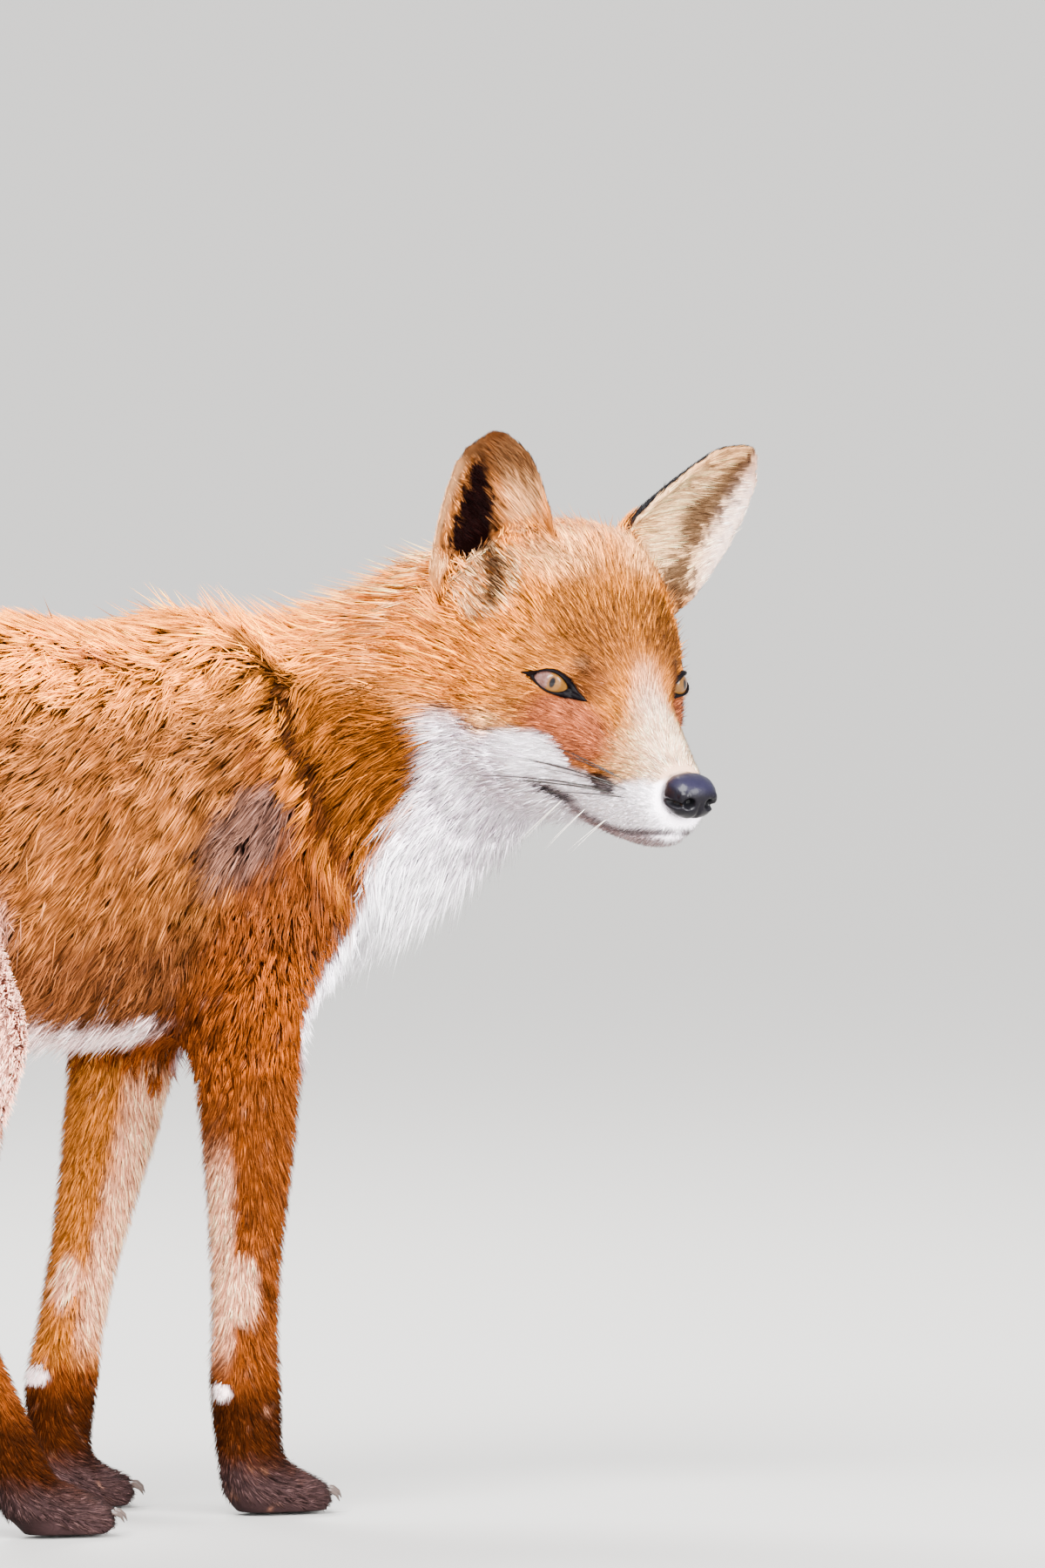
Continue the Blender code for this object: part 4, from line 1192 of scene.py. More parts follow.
class Locks:
    """Tufts that lean together: every so many tufts one leads, and those around it lean to its tip."""

    def __init__(self, roots, rng, clump, gather):
        leaders = np.arange(0, roots.count, clump)
        tree = KDTree(len(leaders))
        for k, place in enumerate(roots.place[leaders]):
            tree.insert(place, k)
        tree.balance()
        lock = np.array([tree.find(place)[1] for place in roots.place])
        self.leader = leaders[lock]
        self.turn = rng.normal(0, 0.13, len(leaders))[lock]
        self.rise = rng.uniform(0.70, 1.0, len(leaders))[lock]
        self.light = rng.normal(1, 0.06 + 0.20 * gather, len(leaders))[lock]
        apart = np.linalg.norm(roots.place - roots.place[self.leader], axis=1)
        # how far out between locks a tuft lies, where its colour gets painted shade
        self.between = step(apart / np.median(apart), 1.0, 1.9)


def turned(vectors, normals, angles):
    """Vectors turned about normals by angles."""
    cos, sin = np.cos(angles)[:, None], np.sin(angles)[:, None]
    return vectors * cos + np.cross(normals, vectors) * sin


def laid_over_form(pelt, roots, locks, rng, gather):
    """Middle and tip of each tuft along the lie and into its lock, and the face under its tip."""
    root = roots.place
    yaw = 0.20 * ripple(root, 0.055, 1.0) + 0.8 * locks.turn + rng.normal(0, 0.10, roots.count)
    length = roots.length * rng.uniform(0.72, 1.15, roots.count)
    half = (length * 0.5)[:, None]
    mid, mid_face = pelt.nearest(root + turned(roots.lie, roots.normal, yaw) * half)
    onward = turned(pelt.face_lie[mid_face], pelt.face_normal[mid_face], yaw)
    tip, tip_face = pelt.nearest(mid + onward * half)
    rise = locks.rise * rng.uniform(0.85, 1.10, roots.count)
    stray = rng.random(roots.count) < fringe_share(root, roots.normal, roots.node)
    rise = rise * (1 + 0.10 * ripple(root, 0.040, 3.0))
    mid_depth = 0.5 * (roots.depth + pelt.face_depth[mid_face])
    tip_depth = 0.5 * (roots.depth + pelt.face_depth[tip_face])
    mid_up = mid_depth * rise * 0.72 * pelt.face_loft[mid_face] + 0.0003
    tip_up = tip_depth * rise * pelt.face_loft[tip_face] + 0.0004
    mid = mid + pelt.face_normal[mid_face] * mid_up[:, None]
    tip = tip + pelt.face_normal[tip_face] * tip_up[:, None]
    tip = tip + roots.normal * (stray * length * rng.uniform(0.08, 0.40, roots.count))[:, None]
    pull = (rng.uniform(gather - 0.22, gather + 0.22, roots.count) * ~stray)[:, None]
    tip = tip * (1 - pull) + tip[locks.leader] * pull
    # keeps a tuft whose lock's leader is far off from stretching
    reach = tip - root
    far = np.linalg.norm(reach, axis=1)
    tip = root + reach * np.minimum(1, 1.25 * length / np.maximum(far, 1e-6))[:, None]
    return mid, tip, tip_face


def tuft_corners(roots, rng, mid, tip, spindle):
    """Corners of each tuft: three round its section, its tip, and for a spindle its root below the skin."""
    width = roots.width * rng.uniform(0.75, 1.25, roots.count)
    axis = unit(tip - roots.place)
    across = unit(np.cross(roots.normal, axis))
    top = unit(np.cross(axis, across))
    half, ridge = across * (width / 2)[:, None], top * (width * 0.42)[:, None]
    sunk = roots.place - roots.normal * ROOT_DEPTH
    base = roots.place * 0.16 + mid * 0.84 if spindle else sunk
    corners = np.stack([base - half, base + half, base + ridge, tip, sunk][:5 if spindle else 4], axis=1)
    corners[:, :, 2] = np.maximum(corners[:, :, 2], FLOOR_GAP)
    return corners


def tuft_faces(spindle):
    """Triangles of one closed tuft: a spindle on a root point, or a spike on a three-cornered base."""
    sides = [(a, b, 3) for a, b in RING]
    return np.array(sides + ([(b, a, 4) for a, b in RING] if spindle else [(1, 0, 2)]))


def tuft_shades(pelt, roots, locks, rng, mid, tip, tip_face, spindle):
    """Colour of each tuft's corners: the markings, with painted shade at roots and between locks, paler
    ends.
    """
    shown = mid * 0.45 + tip * 0.55 if spindle else roots.place * 0.4 + tip * 0.6      # the part that shows
    colour = markings(shown, unit(roots.normal + pelt.face_normal[tip_face]), roots.node)
    bright = step(colour.min(1), 0.35, 0.75)        # white hair shades itself less than red hair
    # painted shade on tufts that lie out between the locks
    light = locks.light * rng.normal(1, 0.42, roots.count) * (1 - 0.58 * locks.between)
    light = np.clip(1 + (light - 1) * (1 - 0.70 * bright), 0.14, 2.1)[:, None]
    pale = colour * light
    # painted shade at the root of each tuft, strongest for red hair
    shaded_root = np.clip(pale * (0.16 + 0.48 * bright)[:, None], 0, 1)
    # the ends are paler, and peach on red hair: partly paler hair, partly painted light that the tips catch
    bleach_and_tip_light = (0.10 if spindle else 0.22) * (1 - bright)[:, None] * pale.max(1, keepdims=True)
    ends = np.clip(pale * 1.46 + bleach_and_tip_light * COAT["peach"], 0, 1)
    # painted light: the ridge of a tuft is lighter than its sides
    if spindle:
        return np.stack([pale * 0.84, pale * 0.84, pale * 0.96, ends, shaded_root], axis=1)
    return np.stack([shaded_root * 1.3, shaded_root * 1.3, pale * 0.9, ends], axis=1)


def grow(name, pelt, mask, seed, spindle, clump, fullness, most, gather):
    """One piece of coat: closed tufts rooted on the skin, each following the lie over the form."""
    rng = np.random.default_rng(seed)
    faces = tuft_faces(spindle)
    roots = Roots(pelt, mask, rng, fullness, most // len(faces))
    locks = Locks(roots, rng, clump, gather)
    mid, tip, tip_face = laid_over_form(pelt, roots, locks, rng, gather)
    corners = tuft_corners(roots, rng, mid, tip, spindle)
    shades = tuft_shades(pelt, roots, locks, rng, mid, tip, tip_face, spindle)

    # where each corner lies on the tuft's patch of the unwrap, and on the tuft for its material
    across = np.array([-1, 1, 0, 0, 0][:corners.shape[1]], float)
    lengthwise = np.array([0, 0, 0, 1, -1] if spindle else [-1, -1, -1, 1], float)
    place = np.stack([across, lengthwise], axis=1) * PATCH
    patches = np.clip(roots.spread, 0.003, 0.997)[:, None, :] + place
    own = rng.random(roots.count)[:, None]
    strand = np.stack(np.broadcast_arrays(across, own, lengthwise), axis=2)

    keep = clear_of_bare_hide(tip) & clear_of_bare_hide(mid)
    corners, shades, patches, strand = corners[keep], shades[keep], patches[keep], strand[keep]
    count, size = corners.shape[:2]
    triangles = (faces + size * np.arange(count)[:, None, None]).reshape(-1, 3)
    mesh = mesh_of(name, corners.reshape(-1, 3), triangles)
    paint(mesh, np.clip(shades.reshape(-1, 3), 0, 1))
    carry(mesh, "strand", strand.reshape(-1, 3))
    layer = mesh.uv_layers.new(name="OFBake")
    layer.uv.foreach_set("vector", patches.reshape(-1, 2)[triangles.ravel()].astype(np.float32).ravel())
    mesh.materials.append(coat_material())
    piece = new_object(name, mesh)
    finish_piece(piece, "red_coat")
    return piece


def finish_piece(piece, slot, *replaced):
    """Parents a finished piece to the body's empty and hides the CAD nodes it replaces."""
    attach(piece, BODY)
    if replaced:
        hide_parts(*replaced)


# ---------------------------------------------------------------- materials
def add(tree, kind, links=None, **settings):
    """Adds a node with its settings, and the values or links of its sockets."""
    made = tree.nodes.new(kind)
    for key, value in settings.items():
        setattr(made, key, value)
    for socket, value in (links or {}).items():
        if isinstance(value, bpy.types.NodeSocket):
            tree.links.new(value, made.inputs[socket])
        else:
            made.inputs[socket].default_value = value
    return made


def new_material(name):
    """An empty node material, its tree, and the sockets of its shader."""
    made = bpy.data.materials.new(name)
    made.use_nodes = True
    tree = made.node_tree
    tree.nodes.clear()
    shader = add(tree, "ShaderNodeBsdfPrincipled")
    add(tree, "ShaderNodeOutputMaterial", {"Surface": shader.outputs[0]})
    return made, tree, shader


def coat_material():
    """Guard hair, dressed and combed: soft gloss along each lock and finer hairs within it."""
    if "guard_hair_combed" in bpy.data.materials:
        return bpy.data.materials["guard_hair_combed"]
    made, tree, shader = new_material("guard_hair_combed")
    colour = add(tree, "ShaderNodeAttribute", attribute_name="coat_colour")
    strand = add(tree, "ShaderNodeAttribute", attribute_name="strand")
    # three or four hairs to the width of a tuft, different in each tuft
    spread = add(tree, "ShaderNodeVectorMath", {0: strand.outputs["Vector"], 1: (1.7, 90.0, 0.35)},
                 operation="MULTIPLY")
    hairs = add(tree, "ShaderNodeTexNoise", {"Vector": spread.outputs[0], "Scale": 1.6, "Detail": 2.0,
                                             "Roughness": 0.6})
    shade = add(tree, "ShaderNodeMapRange", {"Value": hairs.outputs[0], "From Min": 0.3, "From Max": 0.7,
                                             "To Min": 0.80, "To Max": 1.14})
    tinted = add(tree, "ShaderNodeVectorMath", {0: colour.outputs["Color"], "Scale": shade.outputs[0]},
                 operation="SCALE")
    tree.links.new(tinted.outputs[0], shader.inputs["Base Color"])
    shader.inputs["Roughness"].default_value = 0.52
    shader.inputs["Specular IOR Level"].default_value = 0.02
    return made


def skin_material():
    """Short fur lying flat over the hide: fine streaks along the lie, soft and without gloss."""
    made, tree, shader = new_material("short_fur_flat")
    colour = add(tree, "ShaderNodeAttribute", attribute_name="coat_colour")
    comb = add(tree, "ShaderNodeAttribute", attribute_name="comb")
    # a hair is 0.05 mm wide, drawn here in streaks of 0.5 mm so that it shows
    streaks = add(tree, "ShaderNodeTexNoise", {"Vector": comb.outputs["Vector"], "Scale": 900.0,
                                               "Detail": 3.0, "Roughness": 0.65})
    locks = add(tree, "ShaderNodeTexNoise", {"Vector": comb.outputs["Vector"], "Scale": 220.0,
                                             "Detail": 2.0})
    shade = add(tree, "ShaderNodeMapRange", {"Value": streaks.outputs[0], "From Min": 0.3, "From Max": 0.7,
                                             "To Min": 0.62, "To Max": 1.05})
    tinted = add(tree, "ShaderNodeVectorMath", {0: colour.outputs["Color"], "Scale": shade.outputs[0]},
                 operation="SCALE")
    both = add(tree, "ShaderNodeMath", {0: streaks.outputs[0], 1: locks.outputs[0]}, operation="ADD")
    bump = add(tree, "ShaderNodeBump", {"Height": both.outputs[0], "Strength": 0.6, "Distance": 0.0004})
    tree.links.new(tinted.outputs[0], shader.inputs["Base Color"])
    tree.links.new(bump.outputs[0], shader.inputs["Normal"])
    shader.inputs["Roughness"].default_value = 0.65
    shader.inputs["Specular IOR Level"].default_value = 0.02
    return made


def painted_material(name, roughness, coat, grain, depth, gloss=0.5):
    """A finish that reads the piece's own painted colour, with a fine grain in its surface."""
    made, tree, shader = new_material(name)
    colour = add(tree, "ShaderNodeAttribute", attribute_name="coat_colour")
    place = add(tree, "ShaderNodeTexCoord")
    noise = add(tree, "ShaderNodeTexNoise", {"Vector": place.outputs["Object"], "Scale": grain,
                                             "Detail": 2.0})
    shade = add(tree, "ShaderNodeMapRange", {"Value": noise.outputs[0], "To Min": 0.85, "To Max": 1.15})
    tinted = add(tree, "ShaderNodeVectorMath", {0: colour.outputs["Color"], "Scale": shade.outputs[0]},
                 operation="SCALE")
    tree.links.new(tinted.outputs[0], shader.inputs["Base Color"])
    if depth:
        bump = add(tree, "ShaderNodeBump", {"Height": noise.outputs[0], "Strength": 0.5, "Distance": depth})
        tree.links.new(bump.outputs[0], shader.inputs["Normal"])
    shader.inputs["Roughness"].default_value = roughness
    shader.inputs["Coat Weight"].default_value = coat
    shader.inputs["Coat Roughness"].default_value = 0.04
    shader.inputs["Specular IOR Level"].default_value = gloss
    return made


# ---------------------------------------------------------------- eyes, lids, nose, claws, whiskers
IRIS_SHIFT = 0.0008     # how far the iris sits towards the inner corner of the opening
EYE_PAINTS = {name: np.array(linear(code)) for name, code in {
    "amber": "#4A2F10",
    "fibre": "#311D09",
    "white": "#523C38",
    "reflection_speckle": "#31160D",
    "inner_rim": "#130A06",
    "edge": "#130B0A",
    "pupil": "#060506",
    "behind": "#342823",
}.items()}


def grid_faces(rows, columns, closed):
    """Triangles of a grid of points, its columns joined round, and where closed its rows too."""
    faces = []
    for r in range(rows if closed else rows - 1):
        for c in range(columns):
            a, b = r * columns + c, r * columns + (c + 1) % columns
            above_a, above_b = ((q + columns) % (rows * columns) for q in (a, b))
            faces += [(a, b, above_b), (a, above_b, above_a)]
    return faces


def eye_paint(local):
    """A slit pupil, amber with fibres towards the nose, pink white behind under a painted reflection, a dark
    edge.
    """
    across, up = local[:, 1], local[:, 2]
    radius, angle = np.hypot(across - IRIS_SHIFT, up), np.arctan2(up, across - IRIS_SHIFT)
    fibre = 0.5 + 0.25 * np.sin(angle * 37 + 3 * np.sin(angle * 5))
    fibre = fibre + 0.25 * np.sin(angle * 61 + radius * 2500)
    # a painted reflection, speckled, over the pink white behind the iris
    reflection_speckle = 0.5 + 0.5 * ripple(local, 0.0015, 2.0)
    iris = np.tile(EYE_PAINTS["amber"], (len(local), 1))
    iris = mix(iris, EYE_PAINTS["fibre"], 0.55 * fibre)
    white = np.tile(EYE_PAINTS["white"], (len(local), 1))
    white = mix(white, EYE_PAINTS["reflection_speckle"], 0.75 * reflection_speckle)
    paint = mix(iris, white, step(across + 0.0006 * reflection_speckle, -0.0010, -0.0028))
    inner_rim = step(radius, 0.0056, 0.0068) * step(across, -0.003, 0.001)
    paint = mix(paint, EYE_PAINTS["inner_rim"], 0.85 * inner_rim)
    paint = mix(paint, EYE_PAINTS["edge"], step(np.hypot(across, up), 0.0080, 0.0092))
    pupil = np.hypot((across + 0.0002) / 0.0013, (up - 0.0003) / 0.0024)
    paint = mix(paint, EYE_PAINTS["pupil"], step(pupil, 1.2, 0.8))
    paint[local[:, 0] < 0] = EYE_PAINTS["behind"]
    return paint


def eyeball(eye):
    """An eyeball with a raised cornea, its rings closest together in front, where it is painted."""
    rings, spokes = 90, 120
    cornea = 0.0007      # how far it stands out
    polar = np.linspace(0, math.pi, rings + 2)[1:-1] ** 1.25
    polar = polar / polar[-1] * (math.pi * (rings / (rings + 1)))
    turn = np.arange(spokes) / spokes * 2 * math.pi
    p, t = np.meshgrid(polar, turn, indexing="ij")
    out, across, up = np.cos(p), np.sin(p) * np.cos(t), np.sin(p) * np.sin(t)
    bulge = cornea * (1 - step(np.hypot(across, up) * EYE_RADIUS, 0.0030, 0.0058)) * (out > 0)
    size = EYE_RADIUS + bulge
    local = np.stack([out * size, across * size, up * size], axis=2).reshape(-1, 3)
    local = np.concatenate([[(EYE_RADIUS + cornea, 0, 0)], local, [(-EYE_RADIUS, 0, 0)]])
    faces = [(0, 1 + c, 1 + (c + 1) % spokes) for c in range(spokes)]
    faces += (np.array(grid_faces(rings, spokes, False))[:, [0, 2, 1]] + 1).tolist()
    last, end = 1 + (rings - 1) * spokes, 1 + rings * spokes
    faces += [(last + (c + 1) % spokes, last + c, end) for c in range(spokes)]
    mesh = mesh_of("eyeball_" + eye.side, eye.world(local), np.array(faces))
    outwards(mesh)
    paint(mesh, eye_paint(local))
    return new_object("eyeball_" + eye.side, mesh)


def lids(eye, pelt):
    """The dark hide round the eye: a closed band from the opening out to a point at each corner."""
    count, steps = 150, 8
    thickness = 0.0030
    turn = np.arange(count) / count * 2 * math.pi
    upper = np.sin(turn) >= 0
    inner = LID_MIDDLE + LID_HALF * np.cos(turn)
    inner_up = np.where(upper, lid_edge(inner, True), lid_edge(inner, False))
    outer = (RIM[0, 0] + RIM[-1, 0]) / 2 + (RIM[-1, 0] - RIM[0, 0]) / 2 * np.cos(turn)
    outer_up = np.where(upper, *rim_edges(outer))
    share = np.linspace(0, 1, steps)[None, :]
    across = inner[:, None] * (1 - share) + outer[:, None] * share
    up = inner_up[:, None] * (1 - share) + outer_up[:, None] * share
    # lies on the ball near the opening and on the skin beyond, rounded at its inner edge
    on_ball = np.sqrt(np.clip((EYE_RADIUS + 0.0004) ** 2 - across ** 2 - up ** 2, 0.0, None))
    on_skin = np.array([[pelt.height_before(eye, *place) for place in zip(*row)] for row in zip(across, up)])
    out = np.maximum(on_ball, on_skin)
    for _ in range(3):
        out = (np.roll(out, 1, axis=0) + 2 * out + np.roll(out, -1, axis=0)) / 4
    profile = np.interp(share, [0, 0.12, 0.35, 0.75, 1], [0.0003, 0.0012, 0.0015, 0.0011, 0.0000])
    front = np.stack([out + profile, across, up], axis=2)
    back = front - np.array((thickness, 0, 0))
    points = np.concatenate([front, back[:, ::-1]], axis=1)
    triangles = np.array(grid_faces(count, points.shape[1], True))
    mesh = mesh_of("lids_" + eye.side, eye.world(points.reshape(-1, 3)), triangles)
    outwards(mesh)
    paint(mesh, np.tile(COAT["black"] * 0.5, (len(mesh.vertices), 1)))
    return new_object("lids_" + eye.side, mesh)


def outwards(mesh):
    """Turns a closed mesh's faces out."""
    form = bmesh.new()
    form.from_mesh(mesh)
    bmesh.ops.recalc_face_normals(form, faces=form.faces)
    form.to_mesh(mesh)
    form.free()


def nose_leather():
    """The bare nose: pebbled leather with two comma-shaped nostrils and the groove between them."""
    form = bmesh.new()
    form.from_mesh(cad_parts["nose"].data)
    bmesh.ops.remove_doubles(form, verts=form.verts, dist=1e-5)
    mesh = bpy.data.meshes.new("nose_leather")
    form.to_mesh(mesh)
    form.free()
    nose = new_object("nose_leather", mesh)
    remesh = nose.modifiers.new("Fine", "REMESH")
    remesh.mode = "VOXEL"
    remesh.voxel_size = 0.00050
    applied(nose)
    edges = edges_of(nose.data)
    points = diffuse(points_of(nose.data), edges, 14, keep=0.4)
    local = Head.local(points) - NOSE_LOCAL
    wide = np.abs(local[:, 1])
    spot = folded(local)
    opening = around(spot, (0.0085, 0.0054, -0.0010), (0.0090, 0.0036, 0.0034))
    slit = around(spot, (0.0030, 0.0102, -0.0026), (0.0085, 0.0045, 0.0022))
    groove = np.exp(-(wide / 0.0008) ** 2) * step(local[:, 2], 0.0015, -0.0030)
    inward = 0.0042 * opening + 0.0026 * slit + 0.0007 * groove
    wing = around(spot, (0.0070, 0.0078, 0.0016), (0.0060, 0.0030, 0.0034))
    set_points(nose.data, points)
    points = points - normals_of(nose.data) * (inward - 0.0007 * wing)[:, None]
    set_points(nose.data, points)
    base = np.tile(np.array(linear("#040306")), (len(points), 1))
    # painted reflection of the sky: the top of the nose is lightened towards bluish grey
    base = mix(base, np.array(linear("#100E1C")), 0.85 * step(local[:, 2], 0.0022, 0.0072))
    base = mix(base, np.array(linear("#050506")), np.clip(opening * 1.4 + slit, 0, 1))
    paint(nose.data, base)
    nose.data.shade_smooth()
    return nose


def holding_points(name, places, aims, sizes):
    """Points for instances, each with the way it points and its size."""
    mesh = bpy.data.meshes.new(name)
    mesh.vertices.add(len(places))
    mesh.vertices.foreach_set("co", np.ascontiguousarray(places, np.float32).ravel())
    carry(mesh, "aim", aims)
    carry_value(mesh, "size", sizes)
    return new_object(name, mesh)


def planting_tree():
    """Geometry nodes that set a copy of one shape on every point, turned to its aim."""
    if "plant_on_points" in bpy.data.node_groups:
        return bpy.data.node_groups["plant_on_points"]
    tree = bpy.data.node_groups.new("plant_on_points", "GeometryNodeTree")
    face = tree.interface
    face.new_socket("Geometry", in_out="INPUT", socket_type="NodeSocketGeometry")
    face.new_socket("Shape", in_out="INPUT", socket_type="NodeSocketObject")
    face.new_socket("Material", in_out="INPUT", socket_type="NodeSocketMaterial")
    face.new_socket("Spread", in_out="INPUT", socket_type="NodeSocketFloat")
    face.new_socket("Seed", in_out="INPUT", socket_type="NodeSocketInt")
    face.new_socket("Geometry", in_out="OUTPUT", socket_type="NodeSocketGeometry")
    given = add(tree, "NodeGroupInput")
    aim = add(tree, "GeometryNodeInputNamedAttribute", {"Name": "aim"}, data_type="FLOAT_VECTOR")
    size = add(tree, "GeometryNodeInputNamedAttribute", {"Name": "size"}, data_type="FLOAT")
    stray = add(tree, "FunctionNodeRandomValue", {"Min": (-1, -1, -1), "Max": (1, 1, 1),
                                                  "Seed": given.outputs["Seed"]}, data_type="FLOAT_VECTOR")
    strayed = add(tree, "ShaderNodeVectorMath", {0: stray.outputs[0], "Scale": given.outputs["Spread"]},
                  operation="SCALE")
    way = add(tree, "ShaderNodeVectorMath", {0: aim.outputs[0], 1: strayed.outputs[0]}, operation="ADD")
    turn = add(tree, "FunctionNodeAlignRotationToVector", {"Vector": way.outputs[0]}, axis="X")
    shape = add(tree, "GeometryNodeObjectInfo", {"Object": given.outputs["Shape"]})
    dots = add(tree, "GeometryNodeMeshToPoints", {"Mesh": given.outputs["Geometry"]})
    planted = add(tree, "GeometryNodeInstanceOnPoints",
                  {"Points": dots.outputs[0], "Instance": shape.outputs["Geometry"],
                   "Rotation": turn.outputs[0], "Scale": size.outputs[0]})
    real = add(tree, "GeometryNodeRealizeInstances", {0: planted.outputs[0]})
    finished = add(tree, "GeometryNodeSetMaterial", {"Geometry": real.outputs[0],
                                                     "Material": given.outputs["Material"]})
    add(tree, "NodeGroupOutput", {0: finished.outputs[0]})
    return tree


def plant(name, places, aims, sizes, shape, finish, spread, seed):
    """Sets copies of a shape on points and keeps the result as one plain mesh."""
    holder = holding_points(name, places, aims, sizes)
    modifier = holder.modifiers.new("Plant", "NODES")
    modifier.node_group = planting_tree()
    inputs = {item.name: item.identifier for item in modifier.node_group.interface.items_tree
              if item.in_out == "INPUT"}
    modifier[inputs["Shape"]] = shape
    modifier[inputs["Material"]] = finish
    modifier[inputs["Spread"]] = spread
    modifier[inputs["Seed"]] = seed
    applied(holder)
    holder.data.shade_smooth()
    bpy.data.objects.remove(shape)
    return holder


def swept(name, line, radii, sides, flat=1.0):
    """A closed tapering rod along a line of points."""
    line = np.array(line, float)
    ahead = unit(np.gradient(line, axis=0))
    side = unit(np.cross(ahead, (0, 0.02, 1.0)))
    up = np.cross(side, ahead)
    rounds = np.arange(sides) / sides * 2 * math.pi
    points = (line[:, None] + side[:, None] * (np.outer(radii, np.cos(rounds)) * flat)[:, :, None]
              + up[:, None] * np.outer(radii, np.sin(rounds))[:, :, None]).reshape(-1, 3)
    faces = grid_faces(len(line), sides, False)
    first = len(points)
    last = first + 1
    points = np.concatenate([points, line[:1], line[-1:]])
    faces += [(first, (c + 1) % sides, c) for c in range(sides)]
    base = (len(line) - 1) * sides
    faces += [(last, base + c, base + (c + 1) % sides) for c in range(sides)]
    mesh = mesh_of(name, points, np.array(faces))
    outwards(mesh)
    return new_object(name, mesh)


# ---------------------------------------------------------------- operators
class SkinSettings(bpy.types.PropertyGroup):
    """Sizes of the skin."""
    grain: FloatProperty(name="Grain", description="Size of the skin's faces on the body", default=0.0030,
                         min=0.002, max=0.008, unit="LENGTH")
    smoothing: IntProperty(name="Smoothing", description="How much the facets of the solids are evened out",
                           default=14, min=0, max=40)


class CoatSettings(bpy.types.PropertyGroup):
    """How the coat is grown."""
    fullness: FloatProperty(name="Fullness", description="Share of the tufts that are grown",
                            default=1.0, min=0.05, max=2.0, subtype="FACTOR")
    clump: IntProperty(name="Tufts to a lock", description="Tufts that lean together on the body",
                       default=9, min=1, max=40)
    seed: IntProperty(name="Seed", description="Start of the scatter", default=7, min=0)
    most: IntProperty(name="Most faces", description="Triangles that one piece of coat may have",
                      default=196000, min=1000, max=199000)


class StageSettings(bpy.types.PropertyGroup):
    """Camera, floor and lights."""
    turn: FloatProperty(name="Turn", description="Heading of the camera's view from +Y towards +X",
                        default=math.radians(43.0), subtype="ANGLE")
    drop: FloatProperty(name="Drop", description="How far the view points down",
                        default=math.radians(2.5), subtype="ANGLE")
    distance: FloatProperty(name="Distance", description="From the camera to the model",
                            default=9.0, unit="LENGTH")
    height: FloatProperty(name="View height", description="Height of what the camera frames",
                          default=0.7029, unit="LENGTH")
    floor: FloatVectorProperty(name="Floor", description="Colour of the floor", default=linear("#888683"),
                               size=3, subtype="COLOR", min=0, max=1)


SHARED = {}      # what one operator leaves for the next: the skin read once


class FoxOperator:
    """What all the operators share."""
    bl_options = {"REGISTER", "UNDO"}

    @staticmethod
    def pelt():
        """The skin that has been made, as the coat reads it."""
        if "skin" not in bpy.data.objects:
            raise RuntimeError("the skin comes first")
        if "pelt" not in SHARED:
            SHARED["pelt"] = Pelt(bpy.data.objects["skin"])
        return SHARED["pelt"]


class FOX_OT_skin(FoxOperator, bpy.types.Operator):
    """Make the one skin that stands for all the nodes of flesh."""
    bl_idname = "fox.skin"
    bl_label = "Skin"

    def execute(self, context):
        SHARED.clear()
        skin, labels, depth = make_skin(context.scene.fox_skin)
        mesh = skin.data
        points, normals, edges = points_of(mesh), normals_of(mesh), edges_of(mesh)
        even = unit(diffuse(normals, edges, 4))
        lie = lie_of_coat(points, even, labels, edges)
        carry(mesh, "lie", lie)
        hair = hair_measures(points, even, labels)
        bare = hair[:, 2] == 0
        hair = diffuse(hair, edges, 5, keep=0.2)
        hair[bare, 2] = 0
        carry(mesh, "hair", hair)
        carry_value(mesh, "coat_depth", depth)
        carry_value(mesh, "coat_loft", diffuse(loft_of_coat(points, labels), edges, 2))
        carry_value(mesh, "flesh_node", labels)
        near = points - Head.centre * (np.linalg.norm(points - Head.centre, axis=1) < 0.20)[:, None]
        carry(mesh, "comb", near - lie * (np.sum(near * lie, axis=1) * 0.88)[:, None])
        colour = markings(points + even * depth[:, None], even, labels)
        bright = step(colour.min(1), 0.35, 0.75)[:, None]
        paint(mesh, colour * (0.55 + 0.45 * bright))      # the hide lies in the shade of its red hair
        unwrap(skin)
        mesh.materials.clear()
        mesh.materials.append(skin_material())
        mesh.shade_smooth()
        finish_piece(skin, "red_coat", *FLESH)
        return {"FINISHED"}


def unwrap(obj):
    """Lays the skin out flat in islands of its own shape."""
    obj.data.uv_layers.new(name="OFBake")
    context = bpy.context
    context.view_layer.objects.active = obj
    obj.select_set(True)
    bpy.ops.object.mode_set(mode="EDIT")
    bpy.ops.mesh.select_all(action="SELECT")
    bpy.ops.uv.smart_project(angle_limit=math.radians(66), island_margin=0.001)
    bpy.ops.object.mode_set(mode="OBJECT")
    obj.select_set(False)


def grown(context, pieces, spindle=True, clump_share=1.0, gather=0.40):
    """Grows named pieces of coat, each on its own part of the skin."""
    settings = context.scene.fox_coat
    pelt = FoxOperator.pelt()
    for k, (name, mask) in enumerate(pieces):
        if not mask.any():
            raise RuntimeError(f"{name}: no skin to grow on")
        grow(name, pelt, mask, settings.seed * 100 + k + len(name), spindle,
             max(1, round(settings.clump * clump_share)), settings.fullness, settings.most, gather)


